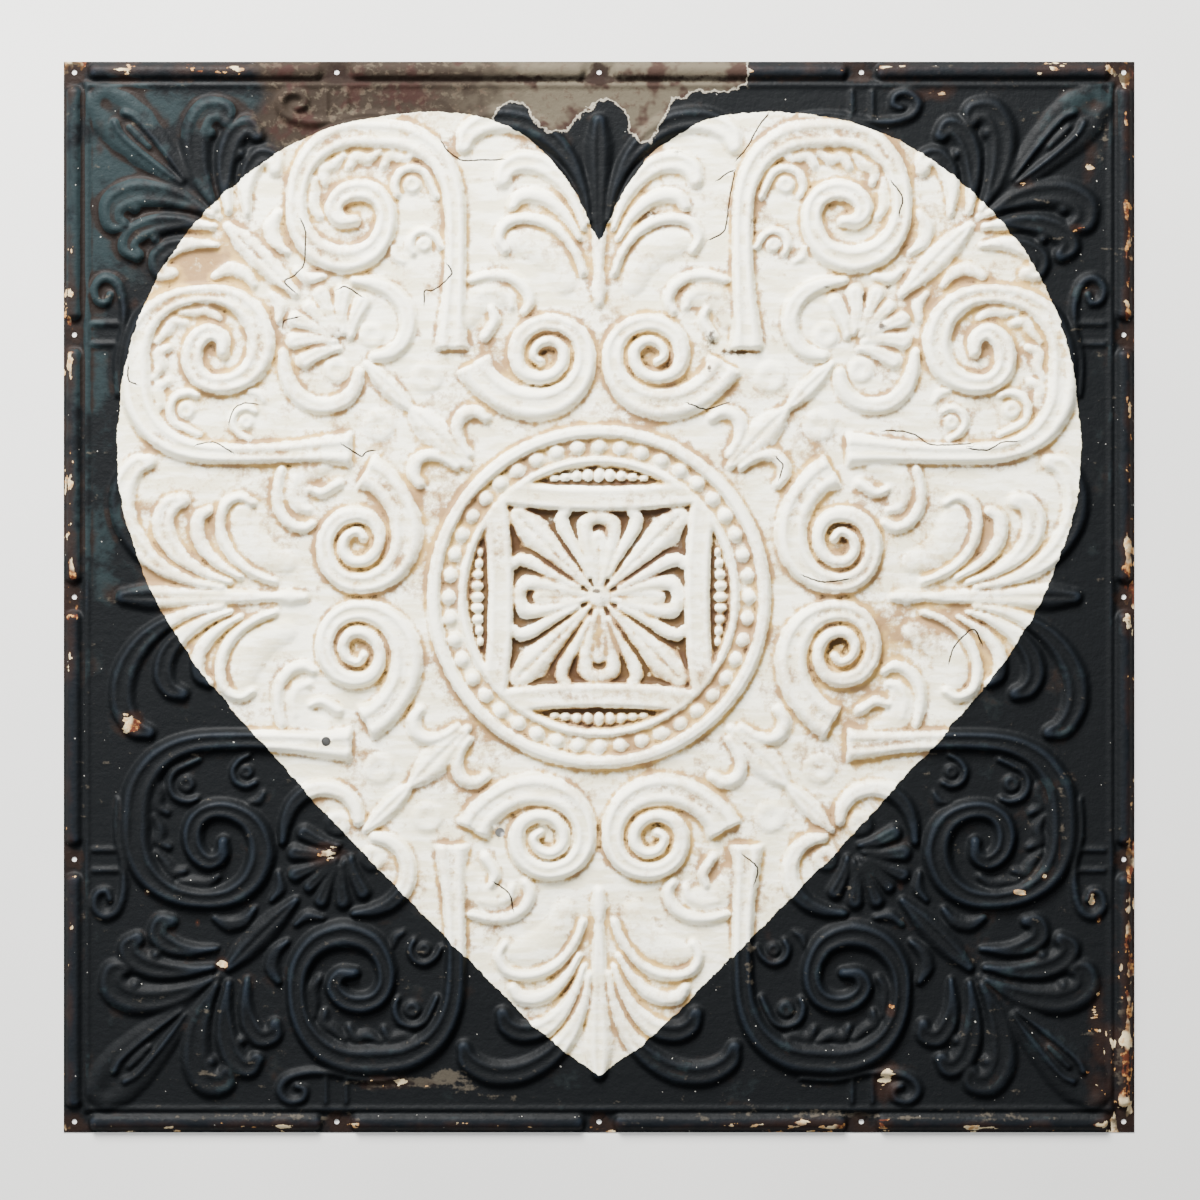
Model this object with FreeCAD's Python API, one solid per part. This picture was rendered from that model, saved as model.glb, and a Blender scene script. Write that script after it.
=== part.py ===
# Pressed tin ceiling tile: one sheet of thin tinplate with a moulded border,
# a round medallion in the middle and scrolls, leaves and palmettes around it.
# Units are millimetres. The origin is the middle of the tile, on the plane that
# the underside of the nailing flange lies on, and +Z points out of the face.
import FreeCAD
import Part

import math
import os

# Sheet and outline
NAIL_PITCH = 609.6          # nail line to nail line across the tile, a 24 inch module
NAIL_SPACES = 4             # spaces from nail to nail along a side
EDGE_LAP = 6.2              # nail line to the cut edge, which laps the next tile
SHEET = 0.38                # thickness of the sheet
STEEL = 7.85e-6             # weight of the sheet's steel, kg per cubic millimetre
FIELD_LEVEL = 1.5           # underside of the field above the flange
NAIL_HOLE_DIAMETER = 3.0
DRILL_DIAMETER = 5.5        # two holes drilled by a past owner
DRILL_PLACES = ((-158.1, -83.7), (-57.5, -136.6))

# Border
ROLL_WIDTH = 10.0
ROLL_RISE = 4.2
ROLL_END_RUN = 1.9          # slope of a roll's end
ROLL_SECTION = ((-1.0, 0.0), (-0.86, 0.6), (-0.42, 1.0), (0.42, 1.0), (0.86, 0.6), (1.0, 0.0))
PAD_LENGTH = 16.6           # flat nailing pad between two rolls
CORNER_PAD = 16.6           # flat pad at a corner, from the cut edge
BEAD_FROM_EDGE = 11.5       # cut edge to the outer foot of the inner bead
BEAD_WIDTH = 3.6
BEAD_RISE = 1.9
BEAD_CREST = 1.0

# Medallion
RIM_RADIUS = 100.0          # outer foot of the rim
RIM_WIDTH = 8.0
RIM_CREST = 2.4
RIM_TOP = 6.6
RING_FLOOR = 2.4            # level of the band between rim and inner roll
BAND_WIDTH = 9.5            # flat band between rim and inner roll, which carries a row of beads
INNER_CREST = 2.2           # flat top of the inner roll
PLATEAU = 4.8               # level of the inner roll and the four bars
GROUND = 0.4                # level of the medallion's deepest ground
WALL_RUN = 2.3              # slope from the plateau to the ground
BAR_WIDTH = 12.0            # across a bar's flat top
BAR_BOW = 3.5               # how far a bar bows inwards
OPENING_CLEAR = 0.9         # corners of the sunk square to the inner roll's top
BOSS_FOOT = 5.6             # radius of the centre boss at its foot
BOSS_TOP = 3.2              # and at its flat top
BOSS_RISE = 3.0

# Relief
SCROLL_RISE = 5.4
SCROLL_CREST = 0.42         # flat top of a scroll band, share of its width
LEAF_RISE = 3.8
PETAL_RISE = 3.2
DROP_CREST = 0.6            # flat top of a drop-shaped petal, share of its width
FACET_TURN = 66.0           # most that a band turns from one flat facet to the next, degrees
FACET_LENGTH = 150.0        # and the length that counts as much as such a turn
FINE_STEPS = 160            # fine steps along a way, from which the facets are picked
THINNEST_CREST = 0.1        # least half width of a band's flat top
SEAM = 0.001                # gap that sewing closes


def vec(x, y, z=0.0):
    """Return a vector."""
    return FreeCAD.Vector(x, y, z)


def slope_inset(rise, run, under):
    """How far a slope's foot and crest lie inside those of the top skin."""
    return SHEET * math.tan(math.atan2(rise, run) / 2) if under else 0.0


def field_half():
    """Middle of the tile to the inner foot of the bead."""
    return NAIL_PITCH / 2 + EDGE_LAP - BEAD_FROM_EDGE - BEAD_WIDTH


def inner_crest_radius():
    """Radius of the inner edge of the inner roll's flat top."""
    return RIM_RADIUS - RIM_WIDTH - BAND_WIDTH - WALL_RUN - INNER_CREST


def bar_arc():
    """Centre on the axis and radius of the middle line of a bar's bow."""
    corner = (inner_crest_radius() - OPENING_CLEAR) / math.sqrt(2)
    radius = (corner ** 2 + BAR_BOW ** 2) / (2 * BAR_BOW)
    return corner - BAR_BOW + radius, radius - BAR_WIDTH / 2


def on_field(way, halves, drawn_rim=100.0, drawn_field=295.9):
    """A drawn way and its half widths, carried to their place between rim and bead."""
    stretch = (field_half() - RIM_RADIUS) / (drawn_field - drawn_rim)
    placed = []
    for x, y in way:
        radius = math.hypot(x, y)
        slant = radius / max(abs(x), abs(y))
        share = (radius - drawn_rim) / (drawn_field * slant - drawn_rim)
        grow = (RIM_RADIUS + share * (field_half() * slant - RIM_RADIUS)) / radius
        placed.append((x * grow, y * grow))
    return placed, tuple(half * stretch for half in halves)


def in_medallion(way, halves, drawn_opening=51.0):
    """A drawn way and its half widths, made as large as the sunk square needs."""
    centre, radius = bar_arc()
    grow = (centre - radius - BAR_WIDTH / 2) / drawn_opening
    return [(x * grow, y * grow) for x, y in way], tuple(half * grow for half in halves)


def spread(values, count):
    """Stretch a short list of values evenly over a count of points."""
    result = []
    for index in range(count):
        place = index * (len(values) - 1) / (count - 1)
        low = min(int(place), len(values) - 2)
        result.append(values[low] + (values[low + 1] - values[low]) * (place - low))
    return result


def polygon_face(points):
    """Flat face with straight sides."""
    return Part.Face(Part.makePolygon(points + points[:1]))


def stations(way, fewest):
    """Points and directions along a smooth curve through the way, closer where it turns."""
    curve = Part.BSplineCurve()
    curve.interpolate([vec(x, y) for x, y in way])
    first, last = curve.FirstParameter, curve.LastParameter
    fine = [first + (last - first) * index / FINE_STEPS for index in range(FINE_STEPS + 1)]
    points = [curve.value(u) for u in fine]
    tangents = [curve.tangent(u)[0].normalize() for u in fine]
    measure = [0.0]
    for index in range(FINE_STEPS):
        turn = math.degrees(tangents[index].getAngle(tangents[index + 1]))
        length = (points[index + 1] - points[index]).Length
        measure.append(measure[-1] + turn / FACET_TURN + length / FACET_LENGTH)
    count = max(math.ceil(measure[-1]), fewest)
    picks = []
    for index in range(count + 1):
        target = measure[-1] * index / count
        picks.append(min(range(FINE_STEPS + 1), key=lambda k: abs(measure[k] - target)))
    return [points[k] for k in picks], [tangents[k] for k in picks]


def beside(points, tangents, half, run, level):
    """Line beside a centre line, lengthened at both ends by the end run."""
    line = [(p.x - t.y * h, p.y + t.x * h, level) for p, t, h in zip(points, tangents, half)]
    for end, sign in ((0, -1), (-1, 1)):
        x, y, z = line[end]
        line[end] = (x + sign * tangents[end].x * run, y + sign * tangents[end].y * run, z)
    return line


def ridge_lines(way, halves, rise, level, crest_share, under):
    """Foot, crest and foot lines of a raised band along a smooth way.

    The section is a trapezoid, or a pointed ridge with one crest where the share is 0.
    """
    points, tangents = stations(way, len(halves) - 1)
    feet = spread(halves, len(points))
    end_run = min(feet[0], feet[-1]) * (1 - crest_share)
    inset = slope_inset(rise, sum(feet) / len(feet) * (1 - crest_share), under)
    foot = [h - inset for h in feet]
    foot_run = end_run - inset
    top = level + rise
    if crest_share:
        crest = [max(h * crest_share - inset, THINNEST_CREST) for h in feet]
        crests = [beside(points, tangents, crest, -inset, top),
                  beside(points, tangents, [-h for h in crest], -inset, top)]
    else:
        slope = math.atan2(rise, sum(feet) / len(feet))
        top = top - (SHEET / math.cos(slope) - SHEET if under else 0.0)
        crests = [beside(points, tangents, [0.0] * len(points), -inset, top)]
    left = beside(points, tangents, foot, foot_run, level)
    right = beside(points, tangents, [-h for h in foot], foot_run, level)
    return [left] + crests + [right]


def ridge(lines):
    """Faces of a raised band between its lines, and the wire of its foot."""
    lines = [[vec(*point) for point in line] for line in lines]
    faces = []
    for first, second in (lines[:2], lines[-2:]):
        for k in range(len(first) - 1):
            faces.append(polygon_face([first[k], first[k + 1], second[k + 1]]))
            faces.append(polygon_face([first[k], second[k + 1], second[k]]))
    if len(lines) == 4:
        faces.append(polygon_face(lines[1] + lines[2][::-1]))
    faces += [polygon_face([line[end] for line in lines]) for end in (0, -1)]
    foot = lines[0] + lines[-1][::-1]
    return faces, Part.makePolygon(foot + foot[:1])


def turned(way, quarter, mirrored=False):
    """Points turned by quarter turns, after mirroring them in the diagonal."""
    result = [(y, x, *z) for x, y, *z in way] if mirrored else list(way)
    for _ in range(quarter):
        result = [(-y, x, *z) for x, y, *z in result]
    return result


def eightfold(lines):
    """The eight copies of some lines: four quarter turns, plain and mirrored."""
    return [[turned(line, quarter, mirrored) for line in lines]
            for quarter in range(4) for mirrored in (False, True)]


def fourfold(lines):
    """The four copies of lines that lie about a mirror line."""
    return [[turned(line, quarter) for line in lines] for quarter in range(4)]


def circle_wire(x, y, radius, level):
    """Full circle as a wire."""
    return Part.Wire([Part.makeCircle(radius, vec(x, y, level))])


def square_points(half, level):
    """Corners of a square about the middle of the tile."""
    corners = ((half, half), (-half, half), (-half, -half), (half, -half))
    return [vec(x, y, level) for x, y in corners]


def square_wire(half, level):
    """Square about the middle of the tile."""
    corners = square_points(half, level)
    return Part.makePolygon(corners + corners[:1])


def offset_profile(profile, under):
    """Profile of the underside: each side moved square to itself by the sheet."""
    if not under:
        return profile
    angles = [math.atan2(b[1] - a[1], b[0] - a[0]) % math.tau for a, b in zip(profile, profile[1:])]
    angles = [math.pi] + angles + [math.pi]
    result = []
    for (r, z), before, after in zip(profile, angles, angles[1:]):
        middle = (before + after) / 2
        length = SHEET / math.cos((after - before) / 2)
        result.append((r - length * math.sin(middle), z + length * math.cos(middle) + SHEET))
    return result


def turned_profile(profile):
    """Cone faces made by turning a profile about the tile's axis."""
    wire = Part.makePolygon([vec(r, 0, z) for r, z in profile])
    return wire.revolve(vec(0, 0), vec(0, 0, 1), 360).Faces


def square_profile(profile):
    """Flat mitred faces made by carrying a profile round the square."""
    faces = []
    for (outer, low), (inner, high) in zip(profile, profile[1:]):
        first = square_points(outer, low)
        second = square_points(inner, high)
        for k in range(4):
            n = (k + 1) % 4
            faces.append(polygon_face([first[k], first[n], second[n], second[k]]))
    return faces


def roll(start, end, line, quarter, lift, under):
    """One half-round roll along a side, as its faces and the wire of its foot."""
    wall_rise = ROLL_RISE * (ROLL_SECTION[1][1] - ROLL_SECTION[0][1])
    wall_run = ROLL_WIDTH / 2 * (ROLL_SECTION[1][0] - ROLL_SECTION[0][0])
    inset = slope_inset(wall_rise, wall_run, under)
    half = ROLL_WIDTH / 2 - inset
    ends = []
    for place, inward in ((start, 1), (end, -1)):
        foot = place + inward * inset
        section = [(foot + inward * ROLL_END_RUN * high, line + half * across, lift + ROLL_RISE * high)
                   for across, high in ROLL_SECTION]
        ends.append([vec(*point) for point in turned(section, quarter)])
    faces = [polygon_face(end) for end in ends]
    faces += [polygon_face([a, b, d, c]) for a, b, c, d in zip(ends[0], ends[0][1:], ends[1], ends[1][1:])]
    foot = [ends[0][0], ends[0][-1], ends[1][-1], ends[1][0]]
    return faces, Part.makePolygon(foot + foot[:1])


def roll_spans():
    """Start and end of each roll along a side, between the nailing pads."""
    cut_edge = NAIL_PITCH / 2 + EDGE_LAP
    spans = []
    step = NAIL_PITCH / NAIL_SPACES
    for index in range(NAIL_SPACES):
        start = -NAIL_PITCH / 2 + index * step + PAD_LENGTH / 2
        end = start + step - PAD_LENGTH
        spans.append((max(start, CORNER_PAD - cut_edge), min(end, cut_edge - CORNER_PAD)))
    return spans


def nail_places():
    """Centre of each nail hole round the tile."""
    reach = NAIL_PITCH / 2
    side = [(-reach + index * NAIL_PITCH / NAIL_SPACES, reach) for index in range(NAIL_SPACES)]
    return [place for quarter in range(4) for place in turned(side, quarter)]


def scroll_ways():
    """The small and the large scroll of one eighth of the field, as drawn."""
    small = [(73.3, 135.5), (61.0, 120.4), (36.0, 111.8), (14.0, 122.0), (8.6, 143.0), (25.5, 158.8),
             (45.0, 151.0), (45.3, 132.0), (27.6, 128.4), (21.0, 143.5), (34.0, 147.4), (38.0, 140.0)]
    large = [(85.5, 149.0), (83.2, 215.0), (89.0, 247.0), (112.0, 266.8), (147.0, 268.0), (171.5, 248.0),
             (173.5, 214.0), (147.5, 195.8), (124.8, 211.5), (128.5, 232.5), (148.0, 233.5), (151.5, 220.0),
             (142.0, 218.0)]
    return (
        (small, (10.6, 9.6, 8.4, 6.2, 5.2, 4.8, 4.6, 4.2, 3.6, 3.2, 3.0, 2.8, 2.6, 2.2), SCROLL_RISE, 0),
        (large, (9.5, 7.2, 8.2, 9.0, 8.2, 6.6, 7.6, 8.2, 6.6, 5.8, 6.2, 5.4, 4.0), SCROLL_RISE, SCROLL_CREST),
    )


def leaf_ways():
    """The leaves of one eighth of the field that lie off its mirror lines, as drawn."""
    return (
        ([(139.5, 182.0), (123.0, 178.5), (111.5, 165.0), (112.5, 150.5), (130.0, 140.0)],
         (2.0, 4.4, 5.2, 4.8, 2.8), LEAF_RISE, 0),
        ([(12.0, 192.0), (20.0, 204.0), (32.0, 212.0), (45.0, 213.5), (54.5, 207.0)],
         (2.4, 5.6, 6.6, 6.0, 3.0), LEAF_RISE, 0),
        ([(19.0, 220.5), (28.0, 229.0), (38.0, 232.0), (46.0, 229.0), (49.0, 224.5)], (1.4, 2.8, 3.2, 2.0),
         LEAF_RISE, 0),
        ([(10.5, 214.0), (15.0, 228.5), (27.0, 245.5), (44.0, 252.0), (56.0, 242.0)],
         (1.4, 3.6, 5.4, 5.4, 2.8), LEAF_RISE, 0),
        ([(7.2, 226.0), (18.0, 254.0), (42.0, 273.5), (66.0, 274.5), (78.0, 261.5)],
         (1.3, 3.6, 5.8, 6.6, 5.2, 2.8), LEAF_RISE, 0),
        ([(223.5, 238.0), (230.0, 248.0), (233.5, 259.0), (233.0, 271.0), (227.0, 280.5), (217.5, 281.0)],
         (2.0, 6.0, 8.0, 6.8, 3.2), LEAF_RISE, 0),
        ([(213.5, 231.0), (216.0, 244.0), (215.5, 257.0), (210.0, 268.0), (203.0, 272.0), (197.5, 268.0)],
         (1.8, 4.6, 5.8, 4.6, 2.6), LEAF_RISE, 0),
        ([(204.0, 225.0), (204.5, 237.0), (201.5, 248.0), (195.5, 254.5), (189.0, 252.0)],
         (1.6, 4.0, 5.2, 3.2), LEAF_RISE, 0),
    )


def axis_ways():
    """Each leaf of the field that lies on a mirror line, as drawn."""
    corner_leaf = [(s, s) for s in (222.0, 254.0, 285.5)]
    crossing_leaf = [(s, s) for s in (178.0, 195.0, 212.0)]
    spindle = [(s, s) for s in (132.0, 121.5, 111.0)]
    rim_leaf = [(s, s) for s in (105.0, 91.5, 78.0)]
    side_leaf = [(0.0, y) for y in (190.0, 232.5, 275.0)]
    return (
        (corner_leaf, (2.2, 6.0, 9.4, 12.4, 13.6, 8.5), LEAF_RISE, 0),
        (crossing_leaf, (2.4, 7.2, 2.4), LEAF_RISE, 0),
        (spindle, (2.0, 6.0, 2.0), LEAF_RISE, 0),
        (rim_leaf, (2.2, 8.2, 2.6), LEAF_RISE, 0),
        (side_leaf, (2.0, 3.0, 4.0, 5.6, 7.0, 3.2), LEAF_RISE, 0),
    )


def petal_ways():
    """The slender petals of one eighth of the medallion's flower, as drawn."""
    way = [(7.0, 14.0), (11.5, 23.0), (17.0, 32.5), (21.5, 40.5), (23.2, 46.5)]
    return ((way, (1.3, 2.6, 3.1, 2.4), PETAL_RISE, 0),)


def petal_axis_ways():
    """The flower's broad diagonal leaf and its drop-shaped petal on the axis, as drawn."""
    leaf = [(s, s) for s in (7.2, 27.1, 47.0)]
    drop = [(0.0, y) for y in (9.5, 28.0, 46.4)]
    return (
        (leaf, (1.8, 3.8, 5.4, 6.2, 5.0, 2.4), PETAL_RISE, 0),
        (drop, (2.8, 6.8, 10.8, 12.4, 8.0), PETAL_RISE, DROP_CREST),
    )


def relief(plain, on_axis, place, level, under):
    """Faces and foot wires of all copies of the drawn ways, each carried to its place."""
    bands = []
    for entries, copies in ((plain, eightfold), (on_axis, fourfold)):
        for way, halves, rise, crest_share in entries:
            bands += copies(ridge_lines(*place(way, halves), rise, level, crest_share, under))
    made = [ridge(lines) for lines in bands]
    return [face for faces, _ in made for face in faces], [wire for _, wire in made]


def arc_between(centre, radius, first, second, level):
    """Arc about a centre, through its point that is nearest to the chord's middle."""
    middle = vec((first[0] + second[0]) / 2 - centre[0], (first[1] + second[1]) / 2 - centre[1])
    middle.normalize()
    through = vec(centre[0] + middle.x * radius, centre[1] + middle.y * radius, level)
    return Part.Arc(vec(*first, level), through, vec(*second, level)).toShape()


def pocket_edges(outer_radius, bar_half, quarter, level):
    """The two arcs round the lens pocket between a bar and the inner roll."""
    centre, middle = bar_arc()
    radius = middle - bar_half
    y = (centre ** 2 - radius ** 2 + outer_radius ** 2) / (2 * centre)
    x = math.sqrt(outer_radius ** 2 - y ** 2)
    first, second, hub, bow = turned([(x, y), (-x, y), (0, 0), (0, centre)], quarter)
    return [arc_between(hub, outer_radius, first, second, level),
            arc_between(bow, radius, first, second, level)]


def opening_edges(bar_half, level):
    """The four arcs round the sunk square inside the bars."""
    centre, middle = bar_arc()
    radius = middle + bar_half
    s = (centre - math.sqrt(2 * radius ** 2 - centre ** 2)) / 2
    edges = []
    for quarter in range(4):
        first, second, bow = turned([(s, s), (-s, s), (0, centre)], quarter)
        edges.append(arc_between(bow, radius, first, second, level))
    return edges


def medallion(lift, under):
    """Faces of the medallion inside its rim's outer foot."""
    inset = slope_inset(PLATEAU - GROUND, WALL_RUN, under)
    bar_half = BAR_WIDTH / 2 - inset
    crest_in = inner_crest_radius() + inset
    outer = RIM_RADIUS
    rim = [(outer, FIELD_LEVEL), (outer - (RIM_WIDTH - RIM_CREST) / 2, RIM_TOP),
           (outer - (RIM_WIDTH + RIM_CREST) / 2, RIM_TOP), (outer - RIM_WIDTH, RING_FLOOR)]
    roll_outer = inner_crest_radius() + INNER_CREST
    step = [(roll_outer + WALL_RUN, RING_FLOOR), (roll_outer, PLATEAU)]
    rim = [(r, z + lift) for r, z in offset_profile(rim, under)]
    step = [(r, z + lift) for r, z in offset_profile(step, under)]
    faces = turned_profile(rim) + turned_profile(step)
    band = [circle_wire(0, 0, rim[-1][0], rim[-1][1]), circle_wire(0, 0, step[0][0], step[0][1])]
    faces.append(Part.Face(band, "Part::FaceMakerBullseye"))
    top = PLATEAU + lift
    ground = GROUND + lift
    plateau = [circle_wire(0, 0, step[-1][0], top)]
    for quarter in range(4):
        upper = pocket_edges(crest_in, bar_half, quarter, top)
        lower = pocket_edges(crest_in - WALL_RUN, bar_half + WALL_RUN, quarter, ground)
        faces += [Part.makeRuledSurface(a, b) for a, b in zip(upper, lower)]
        faces.append(Part.Face(Part.Wire(Part.__sortEdges__(lower))))
        plateau.append(Part.Wire(Part.__sortEdges__(upper)))
    upper = opening_edges(bar_half, top)
    lower = opening_edges(bar_half + WALL_RUN, ground)
    faces += [Part.makeRuledSurface(a, b) for a, b in zip(upper, lower)]
    plateau.append(Part.Wire(Part.__sortEdges__(upper)))
    faces.append(Part.Face(plateau, "Part::FaceMakerBullseye"))
    petals, feet = relief(petal_ways(), petal_axis_ways(), in_medallion, ground, under)
    boss = [(BOSS_FOOT, GROUND), (BOSS_TOP, GROUND + BOSS_RISE)]
    boss = [(r, z + lift) for r, z in offset_profile(boss, under)]
    faces += petals + turned_profile(boss)
    faces.append(Part.Face(circle_wire(0, 0, boss[-1][0], boss[-1][1])))
    floor = [Part.Wire(Part.__sortEdges__(lower)), circle_wire(0, 0, boss[0][0], boss[0][1])] + feet
    faces.append(Part.Face(floor, "Part::FaceMakerBullseye"))
    return faces, circle_wire(0, 0, rim[0][0], rim[0][1])


def skin(lift, under):
    """All faces of one side of the sheet."""
    cut_edge = NAIL_PITCH / 2 + EDGE_LAP
    rolls = [roll(start, end, NAIL_PITCH / 2, quarter, lift, under)
             for quarter in range(4) for start, end in roll_spans()]
    faces = [face for more, _ in rolls for face in more]
    bead_foot = cut_edge - BEAD_FROM_EDGE
    slope = (BEAD_WIDTH - BEAD_CREST) / 2
    bead = [(bead_foot, 0.0), (bead_foot - slope, BEAD_RISE + FIELD_LEVEL / 2),
            (bead_foot - slope - BEAD_CREST, BEAD_RISE + FIELD_LEVEL / 2),
            (bead_foot - BEAD_WIDTH, FIELD_LEVEL)]
    bead = [(r, z + lift) for r, z in offset_profile(bead, under)]
    faces += square_profile(bead)
    nails = [circle_wire(x, y, NAIL_HOLE_DIAMETER / 2, lift) for x, y in nail_places()]
    flange = [square_wire(cut_edge, lift), square_wire(bead[0][0], lift)] + nails
    flange += [wire for _, wire in rolls]
    faces.append(Part.Face(flange, "Part::FaceMakerBullseye"))
    centre_faces, rim_wire = medallion(lift, under)
    relief_faces, feet = relief(scroll_ways() + leaf_ways(), axis_ways(), on_field,
                                FIELD_LEVEL + lift, under)
    field = [square_wire(bead[-1][0], bead[-1][1]), rim_wire] + feet
    faces.append(Part.Face(field, "Part::FaceMakerBullseye"))
    return faces + centre_faces + relief_faces


def cut_edges():
    """Narrow faces of the sheet's cut edge and of the nail holes."""
    faces = square_profile([(NAIL_PITCH / 2 + EDGE_LAP, 0.0), (NAIL_PITCH / 2 + EDGE_LAP, SHEET)])
    for x, y in nail_places():
        faces.append(Part.makeCylinder(NAIL_HOLE_DIAMETER / 2, SHEET, vec(x, y)).Faces[0])
    return faces


def pressed_sheet():
    """The whole tile as one closed solid."""
    faces = skin(SHEET, False) + skin(0.0, True) + cut_edges()
    shell = Part.Shell(Part.makeCompound(faces).Faces)
    shell.sewShape(SEAM)
    solid = Part.makeSolid(shell)
    if solid.Volume < 0:
        solid.reverse()
    for x, y in DRILL_PLACES:
        drill = Part.makeCylinder(DRILL_DIAMETER / 2, 3 * RIM_TOP, vec(x, y, -RIM_TOP))
        solid = solid.cut(drill)
    return solid


os.makedirs("parts", exist_ok=True)
tile = pressed_sheet()
tile.exportStep("parts/pressed_sheet.step")
print("valid", tile.isValid(), "closed", tile.isClosed(), tile.ShapeType, len(tile.Solids))
print("volume", round(tile.Volume), "mm3, mass", round(tile.Volume * STEEL, 3), "kg")
print("box", tile.BoundBox)
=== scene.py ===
"""Looks of a pressed tin ceiling tile: moulded relief, worn black and cream paint, rust."""

import logging
import math
from dataclasses import dataclass, field
from enum import Enum

import bpy
import numpy as np
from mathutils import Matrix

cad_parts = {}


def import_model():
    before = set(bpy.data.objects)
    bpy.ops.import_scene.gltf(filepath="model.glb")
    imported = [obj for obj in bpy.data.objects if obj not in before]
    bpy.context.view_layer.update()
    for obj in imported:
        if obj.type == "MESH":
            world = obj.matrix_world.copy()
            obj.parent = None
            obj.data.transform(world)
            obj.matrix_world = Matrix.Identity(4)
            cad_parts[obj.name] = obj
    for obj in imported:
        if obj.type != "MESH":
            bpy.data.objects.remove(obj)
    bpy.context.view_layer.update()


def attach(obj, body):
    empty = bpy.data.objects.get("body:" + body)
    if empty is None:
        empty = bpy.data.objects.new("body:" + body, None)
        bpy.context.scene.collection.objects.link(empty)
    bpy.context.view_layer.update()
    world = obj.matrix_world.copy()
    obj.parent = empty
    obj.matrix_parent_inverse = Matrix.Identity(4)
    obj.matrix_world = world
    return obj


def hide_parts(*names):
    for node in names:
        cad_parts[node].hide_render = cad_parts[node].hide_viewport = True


MM = 0.001
LOG = logging.getLogger("tile")
Point = tuple[float, float]
Way = list[Point]
Hole = tuple[float, float, float]
Rgb = tuple[int, int, int]
Array = np.ndarray
Socket = bpy.types.NodeSocket
BLUNT_SPANS = 16  # spans of a band's curve that the square cut at its start can reach
OUTSIDE = 9.0  # place across a band that lies well outside it
HOLE_BLOCK = 4  # fine cells from a hole's middle to the border of the block that is taken out round it


class Section(Enum):
    """Cross section of a raised band."""

    ROUND = "plain round roll"
    FLUTED = "two soft ridges with a groove between them"
    VEINED = "round leaf with a fine groove along its middle"
    CUPPED = "raised lip round a hollow middle"


class Copies(Enum):
    """How often a band comes back over the tile."""

    EIGHT = "mirrored in the axes and the diagonals"
    FOUR = "turned by quarters and mirrored in the axes"


@dataclass(frozen=True)
class Band:
    """One raised band of the relief: its way, half widths and height, in millimetres.

    A sunk band stands on the medallion's ground, and a blunt one is cut off square at its start.
    """

    way: Way
    halves: tuple[float, ...]
    rise: float
    section: Section = Section.ROUND
    copies: Copies = Copies.EIGHT
    sunk: bool = False
    blunt: bool = False


def smooth_way(way: Way, per_span: int = 8) -> Array:
    """Catmull-Rom curve through a way: a cubic for each span, with half its neighbours' chord as end slope.

    Args:
        way: the points that the curve passes through.
        per_span: steps in each span.

    Returns:
        The curve's points, one row each.
    """
    points = np.array(way, dtype=float)
    first = 2 * points[0] - points[1]
    last = 2 * points[-1] - points[-2]
    p = np.vstack([first, points, last])
    t = (np.arange(per_span) / per_span)[None, :, None]
    a, b, c, d = (p[k:len(p) - 3 + k][:, None, :] for k in range(4))
    curve = 0.5 * (2 * b + (c - a) * t + (2 * a - 5 * b + 4 * c - d) * t ** 2
                   + (3 * b - a - 3 * c + d) * t ** 3)
    return np.vstack([curve.reshape(-1, 2), points[-1:]])


def diagonal(*places: float) -> Way:
    """Way along the diagonal through the given places."""
    return [(place, place) for place in places]


def neighbours(values: Array, axis: int, before: int) -> tuple[Array, Array]:
    """Values one step before and after each point. Before the first stands row 1, its mirror, or row 0."""
    padded = np.concatenate([np.take(values, [before], axis), values, np.take(values, [-1], axis)], axis)
    count = values.shape[axis]
    return np.take(padded, range(count), axis), np.take(padded, range(2, count + 2), axis)


def blur(values: Array, times: int = 1) -> Array:
    """Softens a field: each pass is the weighted mean 1-2-1 of neighbours along both axes."""
    for _ in range(times):
        for axis in (0, 1):
            low, high = neighbours(values, axis, 1)
            values = (low + 2 * values + high) / 4
    return values


def lowest_near(values: Array, times: int) -> Array:
    """Lowest value within some steps of each point of a field."""
    for _ in range(times):
        for axis in (0, 1):
            values = np.minimum(np.minimum(*neighbours(values, axis, 0)), values)
    return values


def ramp(values: Array, low: float, high: float) -> Array:
    """Smooth step from 0 at low to 1 at high: 3t squared minus 2t cubed."""
    t = np.clip((values - low) / (high - low), 0.0, 1.0)
    return t * t * (3 - 2 * t)


def nearest_on(start: Array, end: Array, x: Array, y: Array) -> tuple[Array, Array]:
    """Point of a segment that lies nearest to each place.

    Args:
        start: the segment's start, or one row for each of several segments.
        end: the segment's end.
        x: first coordinate of each place.
        y: second coordinate.

    Returns:
        That point's share of the way from start to end, and its distance.
    """
    run = end - start
    off_x, off_y = x - start[..., 0], y - start[..., 1]
    share = np.clip((off_x * run[..., 0] + off_y * run[..., 1]) / (run ** 2).sum(axis=-1), 0.0, 1.0)
    return share, np.hypot(off_x - share * run[..., 0], off_y - share * run[..., 1])


def section_height(q: Array, section: Section, half: Array | float = 6.0) -> Array:
    """Height share of a section at q, which is 0 in its middle and 1 at its foot.

    Args:
        q: place across the band.
        section: the band's cross section.
        half: half width there, because only broad bands are fluted.

    Returns:
        Share of the rise.
    """
    q = np.clip(q, 0.0, 1.0)
    if section is Section.FLUTED:
        groove = 0.34 * ramp(half, 4.2, 6.5)
        return (1 - q ** 3) ** 0.8 * (1 - groove * np.exp(-((q - 0.12) / 0.2) ** 2))
    if section is Section.VEINED:
        return (1 - q ** 2) ** 0.8 * (1 - 0.38 * np.exp(-(q / 0.18) ** 2))
    if section is Section.CUPPED:
        return (1 - q ** 4) ** 0.9 * (1 - 0.62 * np.exp(-(q / 0.48) ** 2))
    return (1 - q ** 2) ** 0.75


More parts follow.
